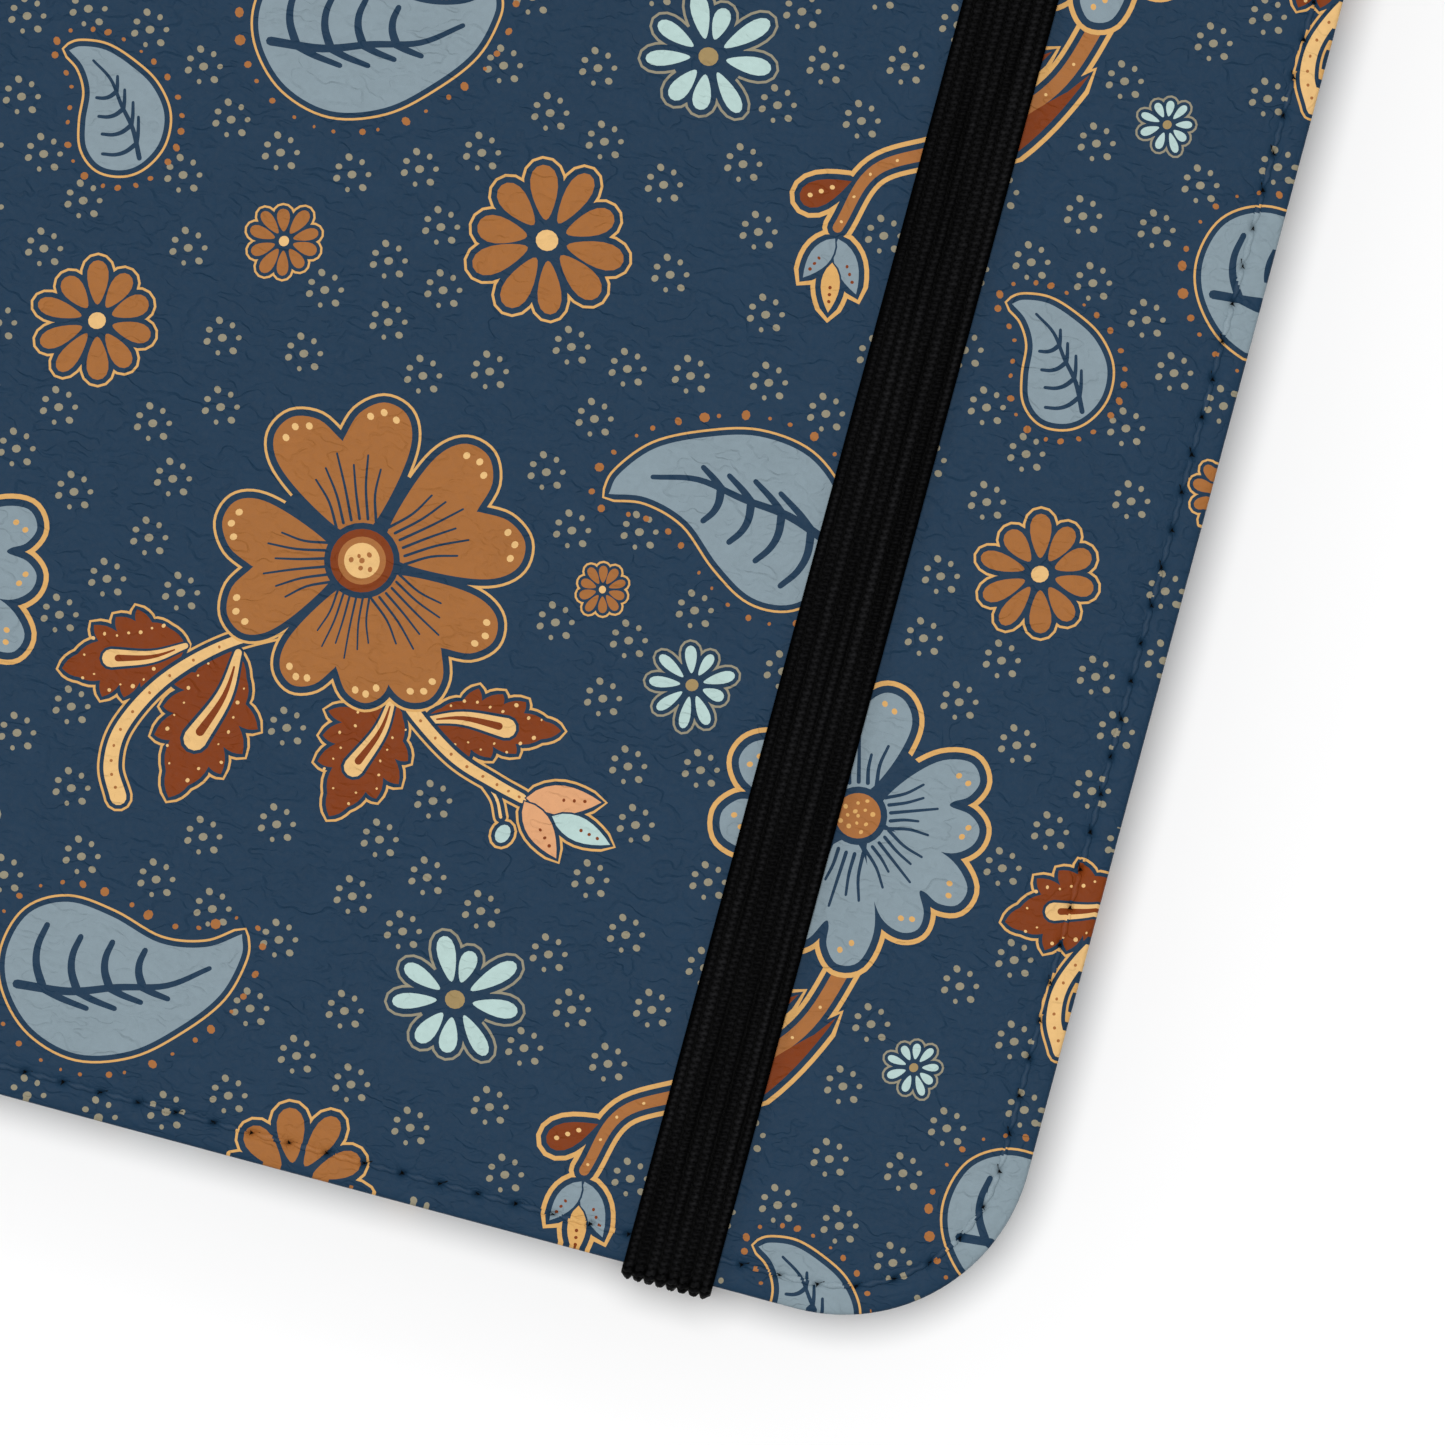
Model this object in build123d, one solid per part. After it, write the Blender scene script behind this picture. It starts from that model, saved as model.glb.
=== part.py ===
from build123d import *
import os

# Folio phone case: stitched leather covers on stiff boards, a moulded shell that holds the phone,
# three card slots over a cash pocket, and an elastic strap that keeps the case shut.
#
# The case lies closed on its back. X runs from the spine to the free edge, Y runs towards the top
# of the phone, and Z runs up through the front cover. The origin is the middle of the closed
# case's footprint, on the surface that it lies on. Every size is in millimetres.

# ---------------------------------------------------------------- driving dimensions

# The phone that the shell is made for.
phone_length = 160.7
phone_width = 77.6
phone_thickness = 7.85
phone_corner_radius = 13.0
phone_clearance = 0.2

# Moulded shell.
shell_wall = 1.2
shell_floor = 1.2
shell_lip_height = 0.9
shell_lip_overhang = 0.9
shell_outer_rounding = 0.6
port_width = 46.0
button_cutout_length = 44.0
button_cutout_offset = 24.0
cutout_sill = 1.3
cutout_rounding = 1.5

# Camera window, measured from the phone's own edges.
window_width = 38.0
window_length = 38.0
window_inset = 4.0
window_corner_radius = 8.0
window_leather_margin = 0.4

# Covers.
cover_overhang = 2.25
cover_corner_radius = 12.1
cover_edge_rounding = 0.35
leather_thickness = 0.8
lining_thickness = 0.4
back_board_thickness = 1.0
front_board_thickness = 1.2
board_inset = 3.2
board_clearance = 0.05
lining_inset = 0.3
adhesive_thickness = 0.3
adhesive_inset = 6.0
closing_gap = 0.4

# Spine and its two fold lines.
spine_board_thickness = 0.6
spine_board_margin = 1.6
spine_clearance = 2.5
fold_clearance = 0.3

# Edge seam: the thread lies in a shallow groove.
seam_inset = 1.8
thread_width = 0.55
thread_depth = 0.22
thread_side_clearance = 0.08
thread_recess = 0.04

# Card slots and cash pocket on the inside of the front cover.
slot_leaf_thickness = 0.5
slot_count = 3
slot_length = 94.0
slot_step = 12.0
slot_centre_y = 8.0
slot_mouth_setback = 9.0
pocket_edge_inset = 0.8
pocket_spine_setback = 2.5
pocket_mouth_radius = 4.0
leaf_mouth_radius = 2.0
leaf_seam_inset = 1.6

# Elastic strap.
strap_width = 6.0
strap_thickness = 0.9
strap_edge_distance = 17.5
strap_gap = 0.2
strap_bend_radius = 0.5
strap_tail_length = 5.0
strap_slot_clearance = 0.1
tack_distance = 4.0
tack_width = 0.6

# ---------------------------------------------------------------- places worked out from them

pocket_width = phone_width + 2 * phone_clearance
pocket_length = phone_length + 2 * phone_clearance
pocket_radius = phone_corner_radius + phone_clearance
pocket_depth = phone_thickness + phone_clearance
shell_width = pocket_width + 2 * shell_wall
shell_length = pocket_length + 2 * shell_wall
shell_radius = pocket_radius + shell_wall

spine_thickness = leather_thickness + spine_board_thickness + lining_thickness
cover_width = spine_thickness + spine_clearance + shell_width + cover_overhang
cover_length = shell_length + 2 * cover_overhang
free_edge = cover_width / 2
spine_face = -cover_width / 2
fold_x = spine_face + spine_thickness / 2
panel_spine_edge = spine_face + spine_thickness + fold_clearance
shell_x = free_edge - cover_overhang - shell_width / 2

back_board_z = leather_thickness
back_lining_z = back_board_z + back_board_thickness
back_top_z = back_lining_z + lining_thickness
shell_z = back_top_z + adhesive_thickness
shell_floor_z = shell_z + shell_floor
shell_lip_z = shell_floor_z + pocket_depth
shell_top_z = shell_lip_z + shell_lip_height
slots_z = shell_top_z + closing_gap
cash_pocket_z = slots_z + slot_count * slot_leaf_thickness
front_lining_z = cash_pocket_z + slot_leaf_thickness
front_board_z = front_lining_z + lining_thickness
front_skin_z = front_board_z + front_board_thickness
front_top_z = front_skin_z + leather_thickness

back_fold_z = back_top_z / 2
front_fold_z = (front_lining_z + front_top_z) / 2

window_x = shell_x + phone_width / 2 - window_inset - window_width / 2
window_y = phone_length / 2 - window_inset - window_length / 2

strap_x = free_edge - strap_edge_distance - strap_width / 2
strap_tail_z = back_board_z + (back_board_thickness - strap_thickness) / 2
groove_depth = thread_depth + thread_recess
groove_width = thread_width + 2 * thread_side_clearance


# ---------------------------------------------------------------- shared shapes

def block(x_range, y_range, z_range):
    """Box between two values on each axis."""
    size = [high - low for low, high in (x_range, y_range, z_range)]
    middle = [(low + high) / 2 for low, high in (x_range, y_range, z_range)]
    return Pos(*middle) * Box(*size)


def rounded_block(centre, size, radius, z_range):
    """Upright prism with a rounded rectangle as its outline."""
    outline = RectangleRounded(size[0], size[1], radius)
    return extrude(Pos(centre[0], centre[1], z_range[0]) * outline, z_range[1] - z_range[0])


def cover_plate(inset, z_range, spine_side=panel_spine_edge):
    """Plate with a cover's outline: square towards the spine, rounded at its two free corners."""
    width = free_edge - inset - spine_side
    outline = Rectangle(width, cover_length - 2 * inset)
    outline = fillet(outline.vertices().group_by(Axis.X)[-1], cover_corner_radius - inset)
    return extrude(Pos(spine_side + width / 2, 0, z_range[0]) * outline, z_range[1] - z_range[0])


def seam_band(width, z_range):
    """Band along the seam line of a cover's three free edges."""
    outer = cover_plate(seam_inset - width / 2, z_range)
    inner = cover_plate(seam_inset + width / 2, z_range)
    return outer - inner


def window_block(margin, z_range):
    """The camera window's opening, wider all round by the margin."""
    size = (window_width + 2 * margin, window_length + 2 * margin)
    return rounded_block((window_x, window_y), size, window_corner_radius + margin, z_range)


def window_band(width, z_range):
    """Band along the seam line round the camera window."""
    outer = window_block(window_leather_margin + seam_inset + width / 2, z_range)
    inner = window_block(window_leather_margin + seam_inset - width / 2, z_range)
    return outer - inner


def strap_tail_block(end, side_clearance, z_range):
    """Flat run of the strap's end inside the back cover, at the bottom (-1) or the top (+1)."""
    half_width = strap_width / 2 + side_clearance
    x_range = (strap_x - half_width, strap_x + half_width)
    inner_end = end * (cover_length / 2 - strap_tail_length)
    outer_end = end * cover_length / 2
    return block(x_range, sorted((inner_end, outer_end)), z_range)


def tack_block(end, side_clearance, z_range):
    """Bar tack across the strap's tail, at the bottom (-1) or the top (+1)."""
    half_length = strap_width / 2 + side_clearance
    half_width = tack_width / 2 + side_clearance
    middle = end * (cover_length / 2 - tack_distance)
    x_range = (strap_x - half_length, strap_x + half_length)
    return block(x_range, (middle - half_width, middle + half_width), z_range)


# ---------------------------------------------------------------- back cover

def back_cover_leather():
    """Outer skin of the back cover, with a rim that closes round the board."""
    skin = cover_plate(0, (0, back_lining_z))
    skin = fillet(outer_rim_edges(skin, 0), cover_edge_rounding)
    skin -= cover_plate(board_inset, (back_board_z, back_lining_z), panel_spine_edge + board_inset)
    skin -= window_block(window_leather_margin, (0, back_lining_z))
    skin += back_window_rim()
    skin -= seam_band(groove_width, (0, groove_depth))
    skin -= window_band(groove_width, (0, groove_depth))
    for end in (-1, 1):
        skin -= strap_tail_block(end, strap_slot_clearance, (back_board_z, back_lining_z))
        skin -= tack_block(end, thread_side_clearance, (0, groove_depth))
    return skin


def outer_rim_edges(plate, level):
    """Edges of a plate's outer face along its three free sides."""
    edges = plate.edges().filter_by_position(Axis.Z, level, level)
    return [edge for edge in edges if edge.center().X > panel_spine_edge + fold_clearance]


def back_window_rim():
    """Leather rim round the camera window, which closes the board's cut edge there."""
    z_range = (back_board_z, back_lining_z)
    return window_block(board_inset, z_range) - window_block(window_leather_margin, z_range)


def back_cover_board():
    """Stiff board between the back cover's skin and its lining."""
    z_range = (back_board_z, back_lining_z)
    inset = board_inset + board_clearance
    board = cover_plate(inset, z_range, panel_spine_edge + inset)
    board -= window_block(inset, z_range)
    for end in (-1, 1):
        board -= strap_tail_block(end, strap_slot_clearance, z_range)
    return board


def back_cover_lining():
    """Inner lining of the back cover."""
    z_range = (back_lining_z, back_top_z)
    return cover_plate(lining_inset, z_range) - window_block(window_leather_margin, z_range)


def back_edge_thread():
    """Seam thread along the back cover's three free edges."""
    return seam_band(thread_width, (thread_recess, groove_depth))


def camera_window_thread():
    """Seam thread round the camera window."""
    return window_band(thread_width, (thread_recess, groove_depth))


def strap_tail(end):
    """End of the elastic strap that is sewn into the back cover."""
    return strap_tail_block(end, 0, (strap_tail_z, strap_tail_z + strap_thickness))


def strap_tack(end):
    """Bar tack that holds a strap tail."""
    return tack_block(end, 0, (thread_recess, groove_depth))


def shell_adhesive_pad():
    """Double-sided pad that bonds the shell to the back cover."""
    z_range = (back_top_z, shell_z)
    size = (shell_width - 2 * adhesive_inset, shell_length - 2 * adhesive_inset)
    pad = rounded_block((shell_x, 0), size, shell_radius - adhesive_inset, z_range)
    return pad - window_block(window_leather_margin + lining_inset, z_range)


# ---------------------------------------------------------------- phone shell

def phone_shell():
    """Moulded tray with a lip over the phone's edge, and openings for its port and buttons."""
    size = (shell_width, shell_length)
    shell = rounded_block((shell_x, 0), size, shell_radius, (shell_z, shell_top_z))
    rims = shell.edges().filter_by_position(Axis.Z, shell_z, shell_z)
    rims += shell.edges().filter_by_position(Axis.Z, shell_top_z, shell_top_z)
    shell = fillet(rims, min(shell_outer_rounding, shell_wall / 2))
    pocket = (pocket_width, pocket_length)
    mouth = [side - 2 * shell_lip_overhang for side in pocket]
    mouth_radius = pocket_radius - shell_lip_overhang
    shell -= rounded_block((shell_x, 0), pocket, pocket_radius, (shell_floor_z, shell_lip_z))
    shell -= rounded_block((shell_x, 0), mouth, mouth_radius, (shell_lip_z, shell_top_z))
    shell -= window_block(0, (shell_z, shell_floor_z))
    return shell - port_cutout() - button_cutout(-1) - button_cutout(1)


def cutout_profile(width):
    """Rounded opening in a shell wall, as a sketch round the origin."""
    height = pocket_depth - 2 * cutout_sill
    return RectangleRounded(width, height, cutout_rounding)


def port_cutout():
    """Opening in the bottom wall for the charging port and speakers."""
    middle = (shell_x, -shell_length / 2 + shell_wall, (shell_floor_z + shell_lip_z) / 2)
    plane = Plane(origin=middle, x_dir=(1, 0, 0), z_dir=(0, -1, 0))
    return extrude(plane * cutout_profile(port_width), 2 * shell_wall)


def button_cutout(side):
    """Opening in a long wall for the phone's buttons, at the spine side (-1) or free side (+1)."""
    reach = side * (shell_width / 2 - shell_wall)
    middle = (shell_x + reach, button_cutout_offset, (shell_floor_z + shell_lip_z) / 2)
    plane = Plane(origin=middle, x_dir=(0, 1, 0), z_dir=(side, 0, 0))
    return extrude(plane * cutout_profile(button_cutout_length), 2 * shell_wall)


# ---------------------------------------------------------------- spine

def spine_strip():
    """The whole spine: an upright strip whose rounded edges are centred on the fold lines."""
    height = front_fold_z - back_fold_z
    y_range = (-cover_length / 2, cover_length / 2)
    x_range = (spine_face, spine_face + spine_thickness)
    strip = block(x_range, y_range, (back_fold_z, front_fold_z))
    for fold_z in (back_fold_z, back_fold_z + height):
        rod = Rot(90, 0, 0) * Cylinder(spine_thickness / 2, cover_length)
        strip += Pos(fold_x, 0, fold_z) * rod
    return strip


def spine_layer(x_low, x_high):
    """Slice of the spine strip between two depths from its outer face."""
    x_range = (spine_face + x_low, spine_face + x_high)
    return spine_strip() & block(x_range, (-cover_length, cover_length), (0, 2 * front_top_z))


def spine_core(clearance):
    """Space for the spine's board inside its leather."""
    depth = spine_face + leather_thickness
    half_length = cover_length / 2 - board_inset - clearance
    z_range = (back_fold_z + spine_board_margin + clearance,
               front_fold_z - spine_board_margin - clearance)
    return block((depth, depth + spine_board_thickness), (-half_length, half_length), z_range)


def spine_seam_bars(width, x_range):
    """Short seam runs that cross the spine at its bottom and top ends."""
    bars = Part()
    for end in (-1, 1):
        middle = end * (cover_length / 2 - seam_inset)
        y_range = (middle - width / 2, middle + width / 2)
        bars += block(x_range, y_range, (back_fold_z, front_fold_z))
    return bars


def spine_leather():
    """Outer skin of the spine, with a rim that closes round its board."""
    skin = spine_layer(0, leather_thickness + spine_board_thickness) - spine_core(0)
    return skin - spine_seam_bars(groove_width, (spine_face, spine_face + groove_depth))


def spine_board():
    """Stiffener strip inside the spine."""
    return spine_core(board_clearance)


def spine_lining():
    """Inner lining of the spine."""
    return spine_layer(leather_thickness + spine_board_thickness, spine_thickness)


def spine_thread():
    """Seam thread where the edge seam crosses the spine."""
    return spine_seam_bars(thread_width, (spine_face + thread_recess, spine_face + groove_depth))


# ---------------------------------------------------------------- front cover

def front_cover_leather():
    """Outer skin of the front cover, with a rim that closes round the board."""
    skin = cover_plate(0, (front_board_z, front_top_z))
    skin = fillet(outer_rim_edges(skin, front_top_z), cover_edge_rounding)
    skin -= cover_plate(board_inset, (front_board_z, front_skin_z), panel_spine_edge + board_inset)
    return skin - seam_band(groove_width, (front_top_z - groove_depth, front_top_z))


def front_cover_board():
    """Stiff board between the front cover's skin and its lining."""
    inset = board_inset + board_clearance
    return cover_plate(inset, (front_board_z, front_skin_z), panel_spine_edge + inset)


def front_cover_lining():
    """Inner lining of the front cover."""
    return cover_plate(lining_inset, (front_lining_z, front_board_z))


def front_edge_thread():
    """Seam thread along the front cover's three free edges."""
    return seam_band(thread_width, (front_top_z - groove_depth, front_top_z - thread_recess))


def cash_pocket_panel():
    """Full-length panel that forms the cash pocket, open towards the spine."""
    x_low = panel_spine_edge + pocket_spine_setback
    z_range = (cash_pocket_z, front_lining_z)
    panel = cover_plate(pocket_edge_inset, z_range, x_low)
    mouth_corners = panel.edges().filter_by(Axis.Z).group_by(Axis.X)[0]
    return fillet(mouth_corners, pocket_mouth_radius)


def slot_mouth_x(index):
    """Where the open edge of a card slot lies; slot 0 is the one nearest the spine."""
    return panel_spine_edge + pocket_spine_setback + slot_mouth_setback + index * slot_step


def slot_z_range(index):
    """Layer that a card slot's leaf fills; slot 0 lies against the cash pocket."""
    top = cash_pocket_z - index * slot_leaf_thickness
    return (top - slot_leaf_thickness, top)


def leaf_y_range(inset):
    """The card slots' length, shorter by the inset at both ends."""
    return (slot_centre_y - slot_length / 2 + inset, slot_centre_y + slot_length / 2 - inset)


def leaf_seam(index, width, z_range):
    """Seam line on the part of a leaf that no other leaf covers."""
    x_mouth = slot_mouth_x(index) + leaf_seam_inset
    x_blind = free_edge - board_inset - leaf_seam_inset
    last = index == slot_count - 1
    x_end = x_blind + width / 2 if last else slot_mouth_x(index + 1)
    seam = Part()
    for y_line in leaf_y_range(leaf_seam_inset):
        seam += block((x_mouth, x_end), (y_line - width / 2, y_line + width / 2), z_range)
    if last:
        seam += block((x_blind - width / 2, x_end), leaf_y_range(leaf_seam_inset), z_range)
    return seam


def card_slot(index):
    """Leaf of one card slot, with the groove of its seam."""
    z_low, z_high = slot_z_range(index)
    leaf = block((slot_mouth_x(index), free_edge - board_inset), leaf_y_range(0), (z_low, z_high))
    mouth_corners = leaf.edges().filter_by(Axis.Z).group_by(Axis.X)[0]
    leaf = fillet(mouth_corners, leaf_mouth_radius)
    return leaf - leaf_seam(index, groove_width, (z_low, z_low + groove_depth))


def card_slot_thread():
    """Seam threads of the card slots, each run on the leaf that shows there."""
    threads = Part()
    for index in range(slot_count):
        z_low = slot_z_range(index)[0]
        threads += leaf_seam(index, thread_width, (z_low + thread_recess, z_low + groove_depth))
    return threads


# ---------------------------------------------------------------- elastic strap

def elastic_strap():
    """Elastic band that runs over the front cover and down both ends to the back cover."""
    inner_y = cover_length / 2 + strap_gap
    inner_z = front_top_z + strap_gap
    outer = strap_envelope(inner_y + strap_thickness, inner_z + strap_thickness,
                           strap_bend_radius + strap_thickness)
    return outer - strap_envelope(inner_y, inner_z, strap_bend_radius)


def strap_envelope(half_length, top, bend_radius):
    """Block as wide as the strap, with its two upper ends rounded off."""
    x_range = (strap_x - strap_width / 2, strap_x + strap_width / 2)
    envelope = block(x_range, (-half_length, half_length), (strap_tail_z, top))
    bends = envelope.edges().filter_by(Axis.X).group_by(Axis.Z)[-1]
    return fillet(bends, bend_radius)


# ---------------------------------------------------------------- write every piece

pieces = {
    "back_cover_leather": back_cover_leather(),
    "back_cover_board": back_cover_board(),
    "back_cover_lining": back_cover_lining(),
    "back_edge_thread": back_edge_thread(),
    "camera_window_thread": camera_window_thread(),
    "strap_tail_bottom": strap_tail(-1),
    "strap_tail_top": strap_tail(1),
    "strap_tack_bottom": strap_tack(-1),
    "strap_tack_top": strap_tack(1),
    "shell_adhesive_pad": shell_adhesive_pad(),
    "phone_shell": phone_shell(),
    "spine_leather": spine_leather(),
    "spine_board": spine_board(),
    "spine_lining": spine_lining(),
    "spine_thread": spine_thread(),
    "front_cover_leather": front_cover_leather(),
    "front_cover_board": front_cover_board(),
    "front_cover_lining": front_cover_lining(),
    "front_edge_thread": front_edge_thread(),
    "cash_pocket_panel": cash_pocket_panel(),
    "card_slot_first": card_slot(0),
    "card_slot_second": card_slot(1),
    "card_slot_third": card_slot(2),
    "card_slot_thread": card_slot_thread(),
    "elastic_strap": elastic_strap(),
}

os.makedirs("parts", exist_ok=True)
for name, shape in pieces.items():
    export_step(shape, f"parts/{name}.step")
print(f"cover {cover_width:.2f} x {cover_length:.2f}, closed height {front_top_z:.2f}")
print(f"fold axes x {fold_x:.2f}, z {back_fold_z:.2f} and {front_fold_z:.2f}")
print(f"strap axis x {strap_x:.2f}, z {back_board_z + back_board_thickness / 2:.2f}")
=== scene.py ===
import math
import random

import bpy
import numpy as np
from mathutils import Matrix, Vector, geometry, kdtree, noise


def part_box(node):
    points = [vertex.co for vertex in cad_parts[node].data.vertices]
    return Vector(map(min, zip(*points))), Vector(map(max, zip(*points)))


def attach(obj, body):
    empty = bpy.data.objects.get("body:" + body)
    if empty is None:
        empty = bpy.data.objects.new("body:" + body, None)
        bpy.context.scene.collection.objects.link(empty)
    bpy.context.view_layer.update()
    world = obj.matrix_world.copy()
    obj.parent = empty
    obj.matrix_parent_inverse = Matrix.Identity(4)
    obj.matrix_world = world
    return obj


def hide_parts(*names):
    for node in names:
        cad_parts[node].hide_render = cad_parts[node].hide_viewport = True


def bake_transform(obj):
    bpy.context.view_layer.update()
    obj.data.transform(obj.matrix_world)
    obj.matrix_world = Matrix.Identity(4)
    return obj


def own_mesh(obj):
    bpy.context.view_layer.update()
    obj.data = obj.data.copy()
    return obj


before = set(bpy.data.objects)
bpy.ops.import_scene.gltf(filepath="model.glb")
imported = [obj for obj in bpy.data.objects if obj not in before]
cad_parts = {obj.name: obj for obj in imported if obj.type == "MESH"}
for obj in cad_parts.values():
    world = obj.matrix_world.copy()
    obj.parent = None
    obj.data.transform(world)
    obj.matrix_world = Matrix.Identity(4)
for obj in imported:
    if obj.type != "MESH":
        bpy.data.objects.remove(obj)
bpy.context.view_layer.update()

# Looks of the folio phone case: the printed leather-cloth skin with its seams, the woven elastic
# strap, the lining, the card slots and the moulded shell. Sizes are in millimetres, in the frame of
# the CAD, and become metres when a mesh is made. Flat shapes use complex numbers, x + iy.

MM = 0.001


def millimetres(node):
    """Lowest and highest corner of a CAD node, in millimetres."""
    low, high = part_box(node)
    return np.array(low) / MM, np.array(high) / MM


# ---------------------------------------------------------------- sizes taken from the frame

front_low, front_high = millimetres("front_cover_leather")
back_low, back_high = millimetres("back_cover_leather")
spine_low, spine_high = millimetres("spine_leather")
strap_low, strap_high = millimetres("elastic_strap")
window_low, window_high = millimetres("camera_window_thread")
tail_low, tail_high = millimetres("strap_tail_bottom")

free_edge = front_high[0]
half_length = front_high[1]
spine_face = spine_low[0]
spine_middle = (spine_low[2] + spine_high[2]) / 2
strap_x = (strap_low[0] + strap_high[0]) / 2
strap_width = strap_high[0] - strap_low[0]

CORNER_RADIUS = 12.1
SEAM_INSET = 1.8
THREAD_HALF = 0.275
STITCH_PITCH = 2.5
STATIONS_PER_STITCH = 10
BEND_RADIUS = 2.2
SPINE_DEPTH = 1.4
FOLD_DEPTH = 0.8
EDGE_LIP = 0.22
WINDOW_RADIUS = 8.4
WINDOW_SEAM = SEAM_INSET + THREAD_HALF

QUARTER = math.pi / 2
bend_x = spine_face + BEND_RADIUS
bend_length = BEND_RADIUS * QUARTER


# ---------------------------------------------------------------- inks of the print, and painted shade for the needle holes

def linear(red, green, blue):
    """Screen colour, 0 to 255, as linear light."""
    return tuple(((c / 255 + 0.055) / 1.055) ** 2.4 if c > 10 else c / 3294 for c in (red, green, blue))


STUDIO_GAIN = 1.25
STUDIO_SHEEN = 0.014


def surface_colour(red, green, blue):
    """Surface colour that shows as the given screen colour under the studio light."""
    return tuple(max((c - STUDIO_SHEEN) / STUDIO_GAIN, 0.002) for c in linear(red, green, blue))


INKS = {
    "ground": surface_colour(42, 64, 86),
    "orange": surface_colour(171, 112, 63),
    "rust": surface_colour(134, 66, 34),
    "gold": surface_colour(226, 176, 108),
    "cream": surface_colour(240, 196, 132),
    "steel": surface_colour(141, 158, 167),
    "aqua": surface_colour(190, 216, 212),
    "beige": surface_colour(154, 147, 126),
    "olive": surface_colour(168, 144, 100),
    "peach": surface_colour(230, 170, 124),
    "caramel": surface_colour(174, 114, 66),
    # Near-black painted shade that fills the needle holes, standing in for the shade inside them.
    "pit": surface_colour(6, 7, 10),
}
INK_NAMES = list(INKS)


# ---------------------------------------------------------------- flat shapes

def smooth(points, steps=6, closed=False):
    """Catmull-Rom curve through a few points."""
    p = list(points)
    ends = (p[-1:], p[:2]) if closed else ([2 * p[0] - p[1]], [2 * p[-1] - p[-2]])
    p = np.array(ends[0] + p + ends[1], complex)
    t = np.arange(steps) / steps
    parts = []
    for a, b, c, d in zip(p[:-3], p[1:-2], p[2:-1], p[3:]):
        parts.append(((2 * b) + (c - a) * t + (2 * a - 5 * b + 4 * c - d) * t ** 2
                      + (3 * b - a - 3 * c + d) * t ** 3) / 2)
    if not closed:
        parts.append(np.array([p[-2]]))
    return np.concatenate(parts)


def mirrored(half):
    """Closed outline from its half on one side of the x axis, which starts and ends on the axis."""
    return np.concatenate([np.conj(half), half[-2:0:-1]])


def ellipse(centre, a, b, turn=0.0, count=10):
    """Ellipse with half-axes a and b."""
    angle = np.arange(count) * 2 * math.pi / count
    return centre + (a * np.cos(angle) + 1j * b * np.sin(angle)) * np.exp(1j * turn)


def grown(outline, distance):
    """Outline moved outward by a distance."""
    area = np.sum(outline.real * np.roll(outline.imag, -1) - np.roll(outline.real, -1) * outline.imag)
    ahead = np.roll(outline, -1) - outline
    ahead /= np.abs(ahead) + 1e-9
    tangent = ahead + np.roll(ahead, 1)
    tangent /= np.abs(tangent) + 1e-9
    return outline - 1j * math.copysign(distance, area) * tangent


def stroke(path, width_start, width_end=None, round_steps=5):
    """Outline of a line drawn along a path, with round ends."""
    path = np.asarray(path, complex)
    end = width_start if width_end is None else width_end
    half = np.linspace(width_start, end, len(path)) / 2
    tangent = np.gradient(path)
    tangent /= np.abs(tangent)
    left = path + 1j * tangent * half
    right = path - 1j * tangent * half
    cap = np.linspace(0, math.pi, round_steps + 2)[1:-1]
    front_cap = path[-1] + half[-1] * tangent[-1] * np.exp(1j * (cap - math.pi / 2))
    back_cap = path[0] + half[0] * tangent[0] * np.exp(1j * (cap + math.pi / 2))
    return np.concatenate([right, front_cap, left[::-1], back_cap])


def inside(points, outline):
    """Which points lie inside a closed outline, by winding number."""
    a, b = outline, np.roll(outline, -1)
    x, y = points.real[:, None], points.imag[:, None]
    side = (b.real - a.real) * (y - a.imag) - (x - a.real) * (b.imag - a.imag)
    up = (a.imag <= y) & (b.imag > y) & (side > 0)
    down = (a.imag > y) & (b.imag <= y) & (side < 0)
    return (up.sum(1) - down.sum(1)) != 0


# ---------------------------------------------------------------- motifs of the print

def outlined(parts, silhouettes, line_ink, gap, line):
    """Parts drawn over a gap of ground colour and an outer line that follows their silhouette."""
    halo = [(line_ink, grown(shape, gap + line)) for shape in silhouettes]
    moat = [("ground", grown(shape, gap)) for shape in silhouettes]
    return halo + moat + parts


def bowed(points, bow, steps=4):
    """Line through points whose stretches curve to the left by a share of their length."""
    t = np.arange(steps) / steps
    parts = []
    for a, b in zip(points[:-1], points[1:]):
        parts.append(a + (b - a) * (t + 1j * bow * np.sin(math.pi * t)))
    return np.concatenate(parts + [np.array([points[-1]])])


def lens(start, end, width, count=9):
    """Pointed petal from one point to another."""
    t = np.linspace(0, 1, count)
    half = t + 1j * width / 2 / abs(end - start) * np.sin(math.pi * t ** 0.85) ** 0.9
    return start + mirrored(half) * (end - start)


def teardrop(length, width, count=18):
    """Drop along +x with its point at the origin."""
    t = np.arange(count) * 2 * math.pi / count
    x = length * (1 - np.cos(t)) / 2
    return x - 1.3j * width / 2 * np.sin(t) * np.sin(t / 2) ** 1.2


def speck(place, size, draw):
    """Small printed dot that is not quite round."""
    return ellipse(place, size, size * draw.uniform(0.78, 1.0), draw.uniform(0, 3), 8)


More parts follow.
